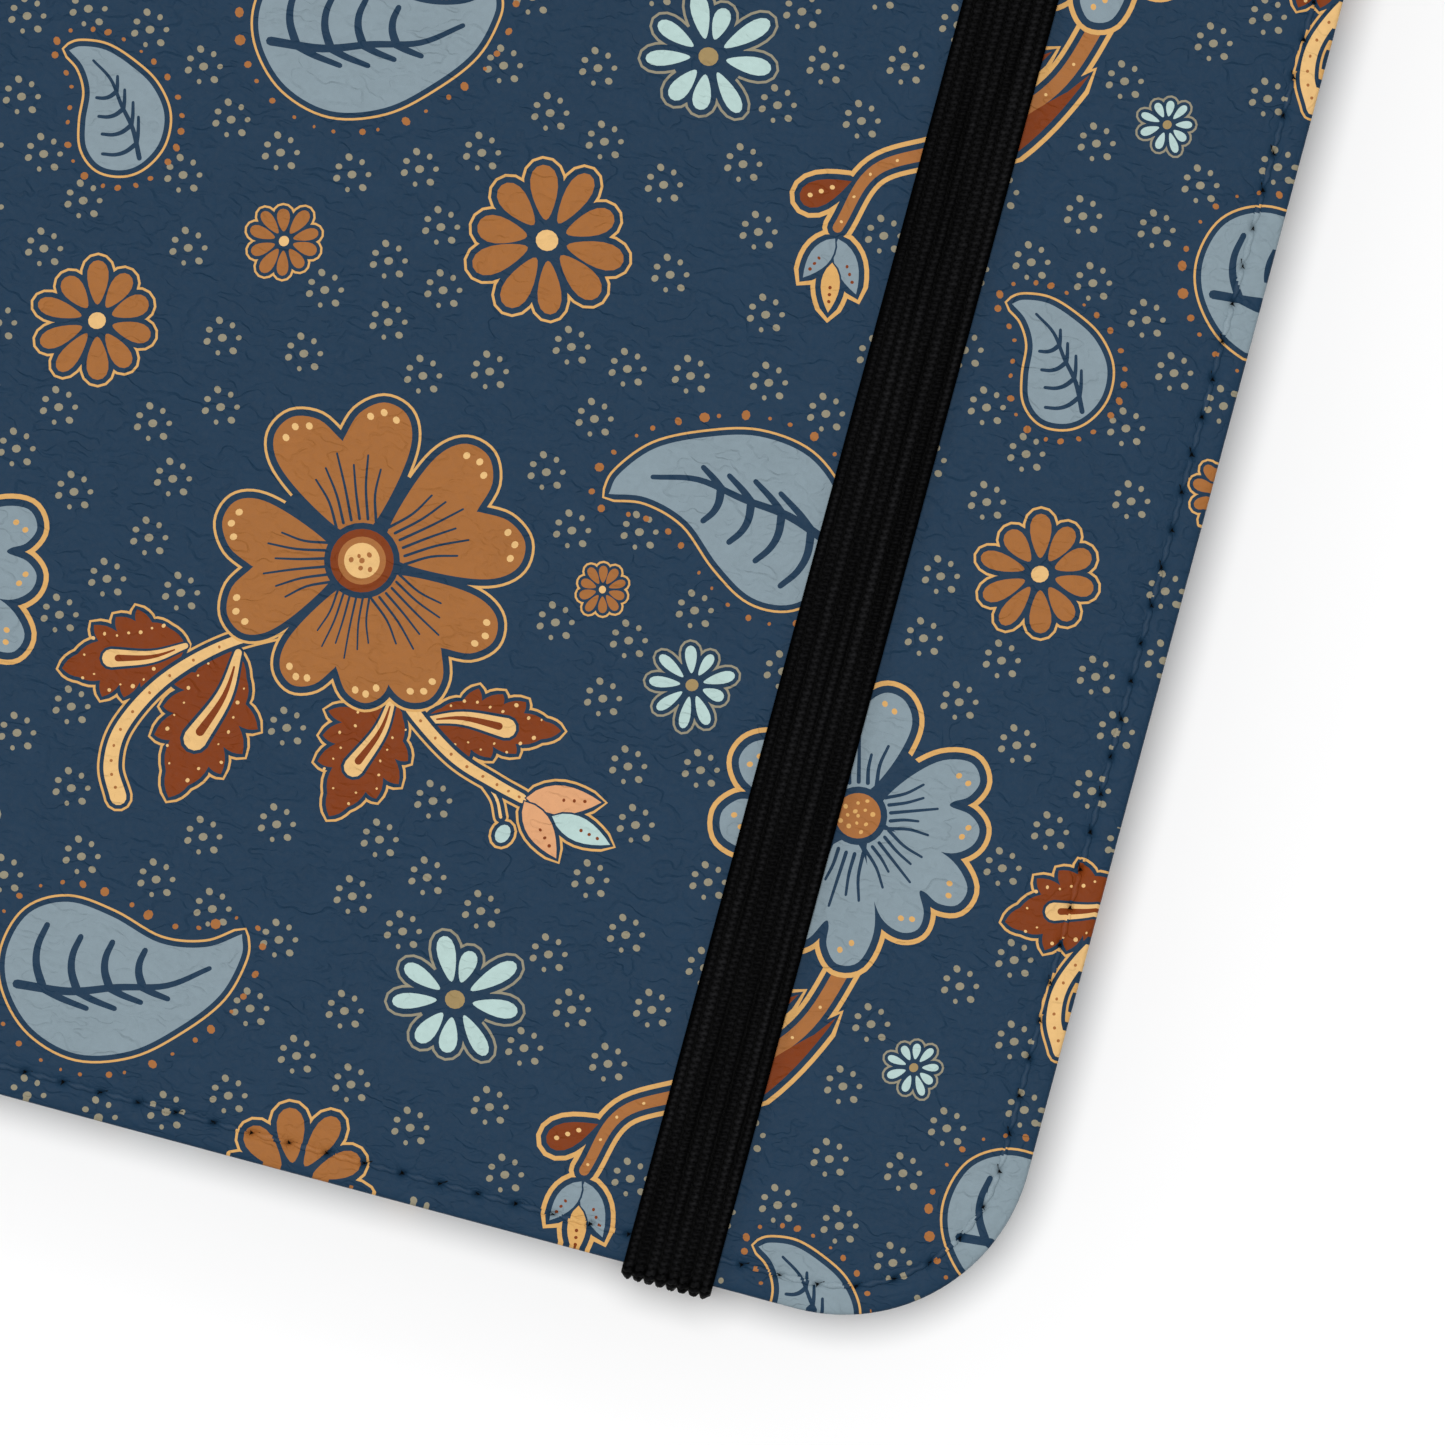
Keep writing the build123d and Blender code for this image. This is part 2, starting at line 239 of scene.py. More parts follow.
def daisy(radius, style, seed):
    """Flower of separate narrow petals."""
    count, slim, uneven = style["petals"], style["slim"], style["uneven"]
    draw = random.Random(seed)
    petals = []
    t = np.arange(18) * 2 * math.pi / 18
    for k in range(count):
        reach = radius * draw.uniform(1 - uneven, 1.0)
        root = radius * 0.25
        half = radius * draw.uniform(0.15, 0.18) * slim
        petal = (root + reach) / 2 + (reach - root) / 2 * np.cos(t)
        petal = petal + 1j * half * np.sin(t) * (1 + 0.42 * np.cos(t))
        turn = 2 * math.pi * (k + draw.uniform(-uneven, uneven) / 2) / count
        petals.append(petal * np.exp(1j * turn))
    centre = ellipse(0, radius * 0.14, radius * 0.13, 0, 14)
    core = ellipse(0, radius * 0.5, radius * 0.5, 0, 20)
    parts = [("ground", core)] + [(style["ink"], petal) for petal in petals] + [(style["centre"], centre)]
    return outlined(parts, petals, style["line"], radius * 0.06 + 0.08, radius * 0.012 + 0.11)


ORANGE_DAISY = {"petals": 10, "slim": 0.9, "uneven": 0.17,
                "ink": "orange", "line": "gold", "centre": "cream"}
AQUA_DAISY = {"petals": 9, "slim": 0.68, "uneven": 0.3,
              "ink": "aqua", "line": "beige", "centre": "olive"}


def fan_lines(count, spread, start, ends, width):
    """Fine lines that fan out along a petal and bend towards its middle."""
    lines = []
    for k in range(count):
        share = (k - (count - 1) / 2) / (count - 1) * 2
        near = start * np.exp(1j * spread * share)
        far = ends[k % len(ends)] * np.exp(0.72j * spread * share)
        middle = (near + far) / 2 * np.exp(-0.05j * share)
        lines.append(stroke(smooth([near, middle, far], 4), width, width * 0.7, 3))
    return lines


def broad_flower(radius, style, petals_at):
    """Large flower of five broad petals; petals_at gives each one's direction, reach and width."""
    petals, details = [], []
    for degrees, reach, broad in petals_at:
        spin = radius * np.exp(1j * math.radians(degrees))
        shape = smooth(style["petal"], 5, closed=True)
        petals.append((shape.real * reach + 1j * shape.imag * broad) * spin)
        for line in fan_lines(style["lines"], 0.50, 0.27, style["ends"], style["line_width"]):
            details.append(("ground", (line.real * reach + 1j * line.imag * broad) * spin))
        for dot in style["dots"]:
            place = dot.real * reach + 1j * dot.imag * broad
            details.append((style["dot_ink"], ellipse(place, 0.025, 0.022, 0.4, 9) * spin))
    core = ellipse(0, radius * 0.62, radius * 0.62, 0, 32)
    parts = [("ground", core)] + [(style["ink"], petal) for petal in petals] + details
    for ink, size in style["rings"]:
        parts.append((ink, ellipse(0, radius * size, radius * size, 0, 28)))
    draw = random.Random(style["specks"])
    for k in range(style["specks"]):
        reach = radius * style["speck_reach"] * math.sqrt(k / style["specks"])
        place = reach * np.exp(2.4j * k)
        parts.append((style["speck_ink"], speck(place, radius * draw.uniform(0.013, 0.021), draw)))
    return outlined(parts, petals, "gold", style["gap"], style["line"])


ORANGE_FLOWER = {
    "ink": "orange",
    "petal": [0.17 + 0j, 0.24 - 0.13j, 0.50 - 0.33j, 0.72 - 0.44j, 0.89 - 0.43j, 0.985 - 0.30j, 0.94 - 0.13j,
              0.80 - 0.01j, 0.79 + 0.01j, 0.94 + 0.13j, 0.985 + 0.30j, 0.89 + 0.43j, 0.72 + 0.44j,
              0.50 + 0.33j, 0.24 + 0.13j],
    "lines": 6, "ends": (0.60, 0.68, 0.62, 0.71, 0.64), "line_width": 0.019,
    "dots": [0.91 - 0.20j, 0.92 - 0.29j, 0.86 - 0.36j, 0.91 + 0.20j, 0.92 + 0.29j, 0.86 + 0.36j],
    "dot_ink": "cream",
    "rings": [("ground", 0.245), ("rust", 0.205), ("caramel", 0.155), ("cream", 0.115)],
    "specks": 6, "speck_reach": 0.085, "speck_ink": "caramel",
    "gap": 0.42, "line": 0.17,
}

BLUE_FLOWER = {
    "ink": "steel",
    "petal": [0.17 + 0j, 0.26 - 0.13j, 0.50 - 0.29j, 0.74 - 0.38j, 0.92 - 0.33j, 0.99 - 0.20j, 0.92 - 0.07j,
              0.77 + 0.01j, 0.80 + 0.05j, 0.93 + 0.08j, 1.03 + 0.20j, 0.97 + 0.36j, 0.74 + 0.40j,
              0.48 + 0.30j, 0.24 + 0.13j],
    "lines": 5, "ends": (0.60, 0.50, 0.66, 0.56), "line_width": 0.030,
    "dots": [0.84 - 0.25j, 0.90 - 0.18j, 0.86 + 0.26j, 0.93 + 0.19j],
    "dot_ink": "gold",
    "rings": [("ground", 0.225), ("caramel", 0.175)],
    "specks": 13, "speck_reach": 0.145, "speck_ink": "gold",
    "gap": 0.46, "line": 0.32,
}

LEAF_TEETH = [0j, 0.12 + 0.44j, 0.27 + 0.66j, 0.38 + 1.04j, 0.41 + 0.70j, 0.56 + 1.0j, 0.57 + 0.64j,
              0.73 + 0.80j, 0.72 + 0.47j, 0.88 + 0.27j, 1 + 0j]


def serrated_leaf(base, tip, width, seed):
    """Toothed leaf with a looped middle vein and a scatter of dots: its parts and its body."""
    draw = random.Random(seed)
    axis = tip - base
    sides = []
    for side in (1, -1):
        shift = 0.06 * (side < 0)
        points = []
        for tooth in LEAF_TEETH:
            x = tooth.real - shift * math.sin(math.pi * tooth.real)
            points.append(complex(x, tooth.imag * width * draw.uniform(0.9, 1.05)))
        line = bowed(points, 0.10)
        sides.append(line if side > 0 else np.conj(line))
    body = base + np.concatenate([sides[0], sides[1][-2:0:-1]]) * axis
    vein = smooth([0.0 + 0.01j, 0.28 + 0.045j, 0.60 - 0.005j], 6)
    slot = vein[2:-1]
    parts = [("rust", body)]
    layers = (("ground", vein, 0.075, 0.19), ("cream", vein, 0.045, 0.145), ("rust", slot, 0.012, 0.055))
    for ink, path, start, end in layers:
        parts.append((ink, base + stroke(path, start, end) * axis))
    for k in range(16):
        s = 0.14 + 0.76 * k / 16
        side = 1 if k % 2 else -1
        reach = width * draw.uniform(0.34, 0.66) * (1 if s < 0.75 else 0.4) + 0.02
        size = draw.uniform(0.07, 0.15) / abs(axis)
        parts.append(("cream", base + speck(s + 1j * side * reach, size, draw) * axis))
    return parts, body


def dotted_stem(points, width_start, width_end, ink, dot_ink):
    """Curved stem with a row of dots along it: its parts and its body."""
    path = smooth(points, 10)
    body = stroke(path, width_start, width_end)
    draw = random.Random(len(points))
    parts = [("ground", grown(body, 0.26)), (ink, body)]
    for place in path[3::4]:
        parts.append((dot_ink, speck(place, 0.11, draw)))
    return parts, body


def grouped(pieces, line_ink, gap, line):
    """Pieces that share one outer line."""
    parts = [part for shapes, _ in pieces for part in shapes]
    return outlined(parts, [body for _, body in pieces], line_ink, gap, line)


def bud(base, tip, side_ink, middle_ink):
    """Half-open bud of three pointed petals."""
    axis = tip - base
    draw = random.Random(3)
    pieces = []
    petals = ((side_ink, 0.02 + 0.02j, 0.72 + 0.34j, 0.30), (side_ink, 0.02 - 0.02j, 0.58 - 0.38j, 0.27),
              (middle_ink, 0.34 - 0.02j, 1 + 0j, 0.25))
    for ink, start, end, width in petals:
        body = lens(base + start * axis, base + end * axis, width * abs(axis))
        parts = [("ground", grown(body, 0.12)), (ink, body)]
        for share in (0.5, 0.64, 0.78):
            place = base + (start + (end - start) * share) * axis
            parts.append(("rust", speck(place, 0.12, draw)))
        pieces.append((parts, body))
    return pieces


PAISLEY_EDGE = [0j, 0.03 + 0.09j, 0.16 + 0.22j, 0.36 + 0.30j, 0.58 + 0.34j, 0.80 + 0.29j, 0.95 + 0.14j,
                1 - 0.05j, 0.96 - 0.21j, 0.83 - 0.33j, 0.66 - 0.33j, 0.50 - 0.22j, 0.34 - 0.06j,
                0.16 + 0.01j, 0j]
PAISLEY_RIB = [0.96 - 0.06j, 0.76 + 0.03j, 0.56 + 0.07j, 0.36 + 0.12j, 0.17 + 0.10j]


def paisley(tip, tail, seed):
    """Curled leaf with veins, a thin outer line and a string of dots round it."""
    axis = tail - tip
    length = abs(axis)
    outline = smooth(PAISLEY_EDGE, 7)[:-1]
    rib = smooth(PAISLEY_RIB, 6)
    veins = [stroke(rib, 0.038, 0.02, 3)]
    for k in range(4):
        root = rib[3 + 4 * k]
        size = 1 - 0.14 * k
        short = smooth([root, root + (-0.06 + 0.06j) * size, root + (-0.15 + 0.13j) * size], 6)
        curved = smooth([root, root + (0.00 - 0.10j) * size, root + (-0.03 - 0.18j) * size,
                         root + (-0.09 - 0.25j) * size], 5)
        veins.append(stroke(short, 0.034, 0.022, 3))
        veins.append(stroke(curved, 0.036, 0.024, 3))
    body = tip + outline * axis
    parts = [("steel", body)] + [("ground", tip + vein * axis) for vein in veins]
    shapes = outlined(parts, [body], "gold", 0.34, 0.15)
    draw = random.Random(seed)
    ring = grown(body, 0.95 + 0.02 * length)
    gaps = np.abs(np.diff(ring, append=ring[:1]))
    travel = np.concatenate([[0], np.cumsum(gaps)])
    closed_ring = np.append(ring, ring[0])
    count = int(travel[-1] / (0.72 + 0.05 * length))
    for k in range(count):
        at = travel[-1] * (k + draw.uniform(0.3, 0.7)) / count
        place = complex(np.interp(at, travel, closed_ring.real), np.interp(at, travel, closed_ring.imag))
        shapes.append(("caramel", speck(place, (0.13 + 0.006 * length) * draw.uniform(0.5, 1.6), draw)))
    return shapes


# Reach, angle and size of each dot of a cluster.
CLUSTER = [
    (0.0, 0.0, 0.29), (1.13, 2.0, 0.25), (1.02, 1.15, 0.20), (1.05, 0.26, 0.19),
    (1.08, -0.62, 0.25), (1.0, -1.6, 0.17), (1.0, -2.65, 0.24), (0.98, 2.85, 0.22),
]


def dot_cluster(centre):
    """Round dot with seven smaller ones about it."""
    dots = []
    for reach, angle, size in CLUSTER:
        place = centre + reach * np.exp(1j * angle)
        dots.append(("beige", ellipse(place, size, size * 0.88, angle + 0.4, 10)))
    return dots


# ---------------------------------------------------------------- one repeat of the print

# Side of the square repeat, and how many of them cover both leaves.
TILE = 62.3
TILE_COLUMNS = range(-4, 4)
TILE_ROWS = range(-1, 4)


def moved(shapes, place, turn=0.0):
    """Shapes turned about the origin and then moved."""
    return [(ink, shape * np.exp(1j * turn) + place) for ink, shape in shapes]


def orange_spray():
    """Orange flower on two leafy stems, one of which ends in a bud."""
    pieces = [
        serrated_leaf(1.6 + 30.8j, -5.6 + 27.3j, 0.35, 31),
        serrated_leaf(4.9 + 31.2j, 3.1 + 21.1j, 0.30, 32),
        serrated_leaf(15.2 + 31.2j, 13.3 + 22.6j, 0.33, 33),
        serrated_leaf(17.6 + 30.0j, 26.2 + 31.7j, 0.25, 34),
        dotted_stem([22.0 + 27.6j, 23.3 + 26.5j, 23.9 + 25.4j], 0.14, 0.2, "cream", "cream"),
        dotted_stem([8.1 + 33.8j, 4.1 + 31.5j, 0.9 + 28.3j, -0.9 + 24.8j, -1.0 + 22.2j, 0.0 + 20.3j],
                    0.5, 1.05, "cream", "caramel"),
        dotted_stem([14.9 + 32.2j, 17.1 + 30.2j, 20.1 + 28.3j, 22.9 + 27.4j, 24.9 + 26.9j],
                    0.8, 0.6, "cream", "caramel"),
    ]
    drop = ellipse(24.3 + 24.4j, 0.62, 0.46, 1.3, 14)
    pieces.append(([("ground", grown(drop, 0.16)), ("aqua", drop)], drop))
    pieces += bud(25.0 + 26.9j, 31.1 + 25.5j, "peach", "aqua")
    flower = broad_flower(9.9, ORANGE_FLOWER, [(114, 1.0, 1.0), (38, 1.03, 1.0), (-33, 0.97, 0.92),
                                               (-89, 0.90, 0.80), (-162, 0.90, 0.98)])
    return grouped(pieces, "gold", 0.25, 0.16) + moved(flower, 11.1 + 38.9j)


def blue_spray():
    """Blue flower on a curved stem with narrow leaves and a drooping bud."""
    pieces = [dotted_stem([48.0 + 23.4j, 45.9 + 17.2j, 41.0 + 12.2j, 36.3 + 9.2j, 34.9 + 5.0j],
                          1.0, 0.65, "caramel", "cream")]
    for start, end, width in ((42.2 + 11.2j, 47.3 + 17.6j, 0.95), (44.0 + 11.8j, 47.9 + 18.6j, 0.75),
                              (40.3 + 14.2j, 45.2 + 19.4j, 1.1)):
        body = lens(start, end, width)
        pieces.append(([("rust", body)], body))
    drop = teardrop(3.5, 1.75) * np.exp(3.75j) + (35.0 + 8.1j)
    specks = [("cream", ellipse(33.9 + 7.4j - (0.62 + 0.42j) * k, 0.17, 0.15, 0, 8)) for k in range(3)]
    pieces.append(([("ground", grown(drop, 0.26)), ("rust", drop)] + specks, drop))
    pieces += bud(35.0 + 4.4j, 35.7 - 0.4j, "steel", "gold")
    flower = broad_flower(8.3, BLUE_FLOWER, [(20, 0.93, 0.92), (-37, 0.98, 0.90), (-93, 1.10, 0.98),
                                             (-178, 1.0, 1.1), (104, 0.96, 1.06)])
    return grouped(pieces, "gold", 0.36, 0.30) + moved(flower, 45.9 + 31.4j)


ORANGE_DAISIES = ((17.2 + 61.7j, 5.2), (53.1 + 49.3j, 4.1), (1.0 + 57.3j, 2.45), (26.4 + 41.1j, 1.75))
AQUA_DAISIES = ((24.1 + 13.4j, 4.6), (33.5 + 36.7j, 3.0), (53.5 + 16.8j, 2.15))
PAISLEYS = ((46.9 + 65.5j, 53.6 + 60.2j), (9.9 + 13.9j, -3.2 + 6.0j), (25.2 + 47.1j, 40.4 + 48.6j))


def large_motifs():
    """The flowers, leaves and stems of one repeat."""
    shapes = orange_spray() + blue_spray()
    for seed, (place, radius) in enumerate(ORANGE_DAISIES):
        shapes += moved(daisy(radius, ORANGE_DAISY, seed), place, 0.6 * seed)
    for seed, (place, radius) in enumerate(AQUA_DAISIES):
        shapes += moved(daisy(radius, AQUA_DAISY, seed + 5), place, 0.5 * seed)
    for seed, (tip, tail) in enumerate(PAISLEYS):
        shapes += paisley(tip, tail, seed + 8)
    return shapes


CLUSTER_SPACING = 3.75
CLUSTER_ROOM = 1.5
CLUSTER_TRIES = 9000
TILE_MARGIN = 4
FEWEST_RIM_POINTS = 12


def scattered_clusters(motifs):
    """Dot clusters spread evenly over what the large motifs leave free."""
    draw = random.Random(21)
    shifts = [complex(a, b) * TILE for a in (-1, 0, 1) for b in (-1, 0, 1)]
    large = [shape for _, shape in motifs if len(shape) > FEWEST_RIM_POINTS]
    near = []
    for outline in (shape + shift for shape in large for shift in shifts):
        spans = (outline.real, outline.imag)
        if all(-TILE_MARGIN < span.max() and span.min() < TILE + TILE_MARGIN for span in spans):
            near.append(outline)
    rims = np.concatenate(near)
    placed = []
    for _ in range(CLUSTER_TRIES):
        spot = complex(draw.uniform(0, TILE), draw.uniform(0, TILE))
        copies = np.array([p + s for p in placed for s in shifts]) if placed else np.array([1e6 + 0j])
        if np.abs(copies - spot).min() < CLUSTER_SPACING or np.abs(rims - spot).min() < CLUSTER_ROOM:
            continue
        if not any(inside(np.array([spot]), outline)[0] for outline in near):
            placed.append(spot)
    return [dot for spot in placed for dot in dot_cluster(spot)]


def print_repeat():
    """Every shape of one repeat, in the order in which they are printed."""
    motifs = large_motifs()
    return scattered_clusters(motifs) + motifs


# ---------------------------------------------------------------- seams

def line_run(start, end, normal):
    """Straight stretch of an edge."""
    return {"length": abs(end - start), "at": lambda f: (start + (end - start) * f, normal + 0 * f)}


def arc_run(centre, radius, angle_from, angle_to, facing, inset):
    """Rounded corner of an edge; facing is 1 at an outer corner and -1 at an opening's corner."""
    def at(f):
        ray = np.exp(1j * (angle_from + (angle_to - angle_from) * f))
        return centre + radius * ray, facing * ray
    return {"length": abs(angle_to - angle_from) * (radius - facing * inset), "at": at}


def walk(runs, reach):
    """Points and normals at the given distances along a chain of stretches."""
    points, normals = [], []
    start = 0.0
    for run in runs:
        here = reach >= start
        if run is not runs[-1]:
            here &= reach < start + run["length"]
        point, normal = run["at"](np.clip((reach[here] - start) / run["length"], 0, 1))
        points.append(point)
        normals.append(normal * np.ones(here.sum()))
        start += run["length"]
    return np.concatenate(points), np.concatenate(normals)


class Seam:
    """Stations along a seam: points on the edge beside it and unit normals out of the leather."""

    def __init__(self, runs, inset, closed):
        self.inset = inset
        self.closed = closed
        total = sum(run["length"] for run in runs)
        count = round(total / STITCH_PITCH) * STATIONS_PER_STITCH
        self.step = total / count
        self.edge, self.normal = walk(runs, (np.arange(count) + 0.5) * self.step)

    def at_inset(self, inset):
        """The stations moved in from the edge."""
        return self.edge - self.normal * inset

    def holes(self):
        """Needle holes: their places and the seam's direction there."""
        pick = slice(STATIONS_PER_STITCH // 2, None, STATIONS_PER_STITCH)
        return self.at_inset(self.inset)[pick], (1j * self.normal)[pick]


def cover_seam(sheet_end):
    """Seam along a leaf's free edges, from the bottom of the spine round to its top."""
    x, y, r = free_edge, half_length, CORNER_RADIUS
    runs = [
        line_run(complex(sheet_end, -y), complex(x - r, -y), -1j),
        arc_run(complex(x - r, r - y), r, -QUARTER, 0, 1, SEAM_INSET),
        line_run(complex(x, r - y), complex(x, y - r), 1),
        arc_run(complex(x - r, y - r), r, 0, QUARTER, 1, SEAM_INSET),
        line_run(complex(x - r, y), complex(sheet_end, y), 1j),
    ]
    return Seam(runs, SEAM_INSET, False)


def window_seam():
    """Seam round the camera window."""
    low = complex(window_low[0] + WINDOW_SEAM, window_low[1] + WINDOW_SEAM)
    high = complex(window_high[0] - WINDOW_SEAM, window_high[1] - WINDOW_SEAM)
    r = WINDOW_RADIUS
    corners = [complex(high.real - r, high.imag - r), complex(low.real + r, high.imag - r),
               complex(low.real + r, low.imag + r), complex(high.real - r, low.imag + r)]
    runs = []
    for k, centre in enumerate(corners):
        runs.append(arc_run(centre, r, QUARTER * k, QUARTER * (k + 1), -1, SEAM_INSET))
        ray = np.exp(1j * QUARTER * (k + 1))
        following = corners[(k + 1) % 4]
        runs.append(line_run(centre + r * ray, following + r * ray, -ray))
    return Seam(runs, SEAM_INSET, True)


# ---------------------------------------------------------------- leaves of the skin

class Leaf:
    """A cover's skin together with the half of the spine that it turns into."""

    def __init__(self, name, level, up, rim_depth):
        self.name = name
        self.level = level
        self.up = up
        self.rim_depth = rim_depth
        drop = abs(level - spine_middle)
        self.sheet_end = bend_x - bend_length - (drop - BEND_RADIUS)
        self.seams = [cover_seam(self.sheet_end)]

    def on_sheet(self, shape):
        """A shape of the print on the flat sheet; the print starts at the front's bottom free corner."""
        if self.up > 0:
            return shape + complex(free_edge, -half_length)
        spine_to_spine = self.sheet_end + front_leaf.sheet_end - free_edge
        return spine_to_spine - np.conj(shape) - 1j * half_length

    def place(self, flat, depth):
        """Points in the CAD's frame, from places on the flat sheet and depths under its face."""
        u, v = flat.real, flat.imag
        turn = np.clip((bend_x - u) / BEND_RADIUS, 0, math.pi / 2)
        run = np.maximum(bend_x - u - bend_length, 0)
        radius = BEND_RADIUS - depth
        x = np.where(u > bend_x, u, bend_x - radius * np.sin(turn))
        drop = BEND_RADIUS - radius * np.cos(turn) + run
        return np.stack([x, v, self.level - self.up * drop], axis=-1)

    def inner_depth(self, u):
        """Depth of the sheet's inner face: thick over the boards and thin at the fold."""
        fold_end = bend_x - bend_length
        at = [fold_end - 0.8, fold_end - 0.1, bend_x - 0.05, bend_x + 0.4]
        return np.interp(u, at, [SPINE_DEPTH, FOLD_DEPTH, FOLD_DEPTH, self.rim_depth])


front_leaf = Leaf("front", front_high[2], 1, front_high[2] - front_low[2])
back_leaf = Leaf("back", back_low[2], -1, back_high[2] - back_low[2])
back_leaf.seams.append(window_seam())


def printed_on(leaf, repeat):
    """The repeat laid over a leaf's flat sheet; the print runs on round the spine."""
    shapes = []
    for column in TILE_COLUMNS:
        for row in TILE_ROWS:
            for ink, shape in repeat:
                flat = leaf.on_sheet(shape + complex(column, row) * TILE)
                if flat.real.max() < leaf.sheet_end or flat.real.min() > free_edge:
                    continue
                if abs(flat.imag).min() > half_length:
                    continue
                shapes.append((ink, flat))
    return shapes


# Each corner's reach, least and greatest share of it, direction from the pit's lean, and spread.
PIT_CORNERS = ((0.34, 0.8, 1.2, 0.0, 0.1), (0.22, 0.7, 1.2, 2.2, 0.3), (0.25, 0.7, 1.3, -2.5, 0.3))
PIT_TAIL_PLACE = 0.24
PIT_TAIL_LENGTH = 0.32
PIT_TAIL_WIDTH = 0.055


def pit_outlines(seam):
    """Uneven three-cornered needle holes, each with a narrow tail."""
    draw = random.Random(len(seam.edge))
    outlines = []
    for place, way in zip(*seam.holes()):
        lean = float(np.angle(way)) + draw.uniform(0.1, 0.5)
        corners = []
        for reach, least, most, turn, spread in PIT_CORNERS:
            size = reach * draw.uniform(least, most)
            corners.append(size * np.exp(1j * (lean + turn + draw.uniform(-spread, spread))))
        outlines.append(place + bowed(corners + corners[:1], 0.1, 3)[:-1])
        tail = place + PIT_TAIL_PLACE * np.exp(1j * lean)
        length = PIT_TAIL_LENGTH * draw.uniform(0.8, 1.1)
        outlines.append(ellipse(tail, length, PIT_TAIL_WIDTH, lean + 0.15, 8))
    return outlines


def inks_at(points, shapes):
    """Index of the ink that shows at each point: the last shape printed there."""
    order = np.argsort(points.imag)
    ordered = points[order]
    found = np.zeros(len(points), int)
    for ink, outline in shapes:
        first, last = np.searchsorted(ordered.imag, (outline.imag.min(), outline.imag.max()))
        if last <= first:
            continue
        near = np.arange(first, last)
        near = near[(ordered.real[near] > outline.real.min()) & (ordered.real[near] < outline.real.max())]
        if len(near):
            found[near[inside(ordered[near], outline)]] = INK_NAMES.index(ink)
    result = np.zeros(len(points), int)
    result[order] = found
    return result


def nearest_tree(points):
    """Search tree over flat points."""
    tree = kdtree.KDTree(len(points))
    for k, point in enumerate(points):
        tree.insert((point.real, point.imag, 0), k)
    tree.balance()
    return tree


def seam_places(leaf, flat):
    """For each point: inset from the nearest edge, and distance along the seam from a needle hole."""
    edge = np.concatenate([seam.edge for seam in leaf.seams])
    normal = np.concatenate([seam.normal for seam in leaf.seams])
    step = np.concatenate([np.full(len(seam.edge), seam.step) for seam in leaf.seams])
    phase = np.concatenate([np.arange(len(seam.edge)) % STATIONS_PER_STITCH for seam in leaf.seams])
    tree = nearest_tree(edge)
    nearest = np.array([tree.find((p.real, p.imag, 0))[1] for p in flat])
    away = flat - edge[nearest]
    inset = -(away * np.conj(normal[nearest])).real
    along = (away * np.conj(1j * normal[nearest])).real
    along += (phase[nearest] - STATIONS_PER_STITCH // 2) * step[nearest]
    return inset, along


def ramp(x, low, high):
    """Smooth step from 0 at low to 1 at high."""
    t = np.clip((x - low) / (high - low), 0, 1)
    return t * t * (3 - 2 * t)


LEAST_DEPTH = 0.067
CROWN_DROP, CROWN_START, CROWN_END = 0.17, 1.9, 4.6
LIP_DROP, LIP_WIDTH = 0.16, 0.75
GROOVE_DEPTH, GROOVE_WIDTH, PULL_LENGTH = 0.15, 0.36, 0.7
PIT_DEPTH, PIT_LENGTH, PIT_WIDTH, PIT_SLANT = 0.42, 0.26, 0.12, 0.28
PILLOW_HEIGHT, PILLOW_INSET, PILLOW_WIDTH = 0.05, 0.95, 0.4
# Wave length, height and level in the noise, for the long and the short waves.
WAVES = ((11, 0.035, 3.0), (3.1, 0.012, 7.0))


def wave(point):
    """Soft unevenness of the board under the leather, at two scales."""
    x, y = point.real, point.imag
    return sum(noise.noise((x / span, y / span, level)) * size for span, size, level in WAVES)


def relief(leaf, flat):
    """How far the outer face lies under its level: crowned edges, seam groove, pits and soft waves."""
    inset, along = seam_places(leaf, flat)
    beside = inset - SEAM_INSET
    crown = CROWN_DROP * (1 - ramp(inset, CROWN_START, CROWN_END))
    lip = LIP_DROP * np.clip((LIP_WIDTH - inset) / LIP_WIDTH, 0, 1) ** 2
    pull = 0.55 + 0.45 * np.exp(-(along / PULL_LENGTH) ** 2)
    groove = GROOVE_DEPTH * pull * np.exp(-(beside / GROOVE_WIDTH) ** 2)
    slant = along * math.cos(PIT_SLANT) + beside * math.sin(PIT_SLANT)
    across = beside * math.cos(PIT_SLANT) - along * math.sin(PIT_SLANT)
    pit = PIT_DEPTH * np.exp(-(slant / PIT_LENGTH) ** 2 - (across / PIT_WIDTH) ** 2)
    swell = np.exp(-((inset - PILLOW_INSET) / PILLOW_WIDTH) ** 2)
    pillow = PILLOW_HEIGHT * swell * np.cos(math.pi * along / STITCH_PITCH) ** 2
    waves = np.array([wave(point) for point in flat])
    return LEAST_DEPTH + crown + lip + groove + pit - pillow + waves


# Insets of the lines of points that carry the edge's shape. The seam's own are set closer along it.
EDGE_INSETS = (0.45, 0.8, 1.15, 2.5, 3.0, 3.8, 4.8)
SEAM_INSETS = (1.4, 1.56, 1.68, 1.8, 1.92, 2.04, 2.2)


def sheet_points(leaf):
    """Points that carry the sheet's shape, besides the outlines of the print."""
    points = []
    for seam in leaf.seams:
        for inset in sorted(EDGE_INSETS + SEAM_INSETS):
            points.append(seam.at_inset(inset)[::1 if inset in SEAM_INSETS else 2])
    bend_lines = np.arange(leaf.sheet_end + 0.5, bend_x + 1.0, 0.4)
    flat_lines = np.arange(bend_x + 2.0, free_edge, 2.4)
    rows = np.arange(-half_length + 3, half_length - 2, 2.4)
    for u in np.concatenate([bend_lines, flat_lines]):
        points.append(u + 1j * rows)
    return np.concatenate(points)


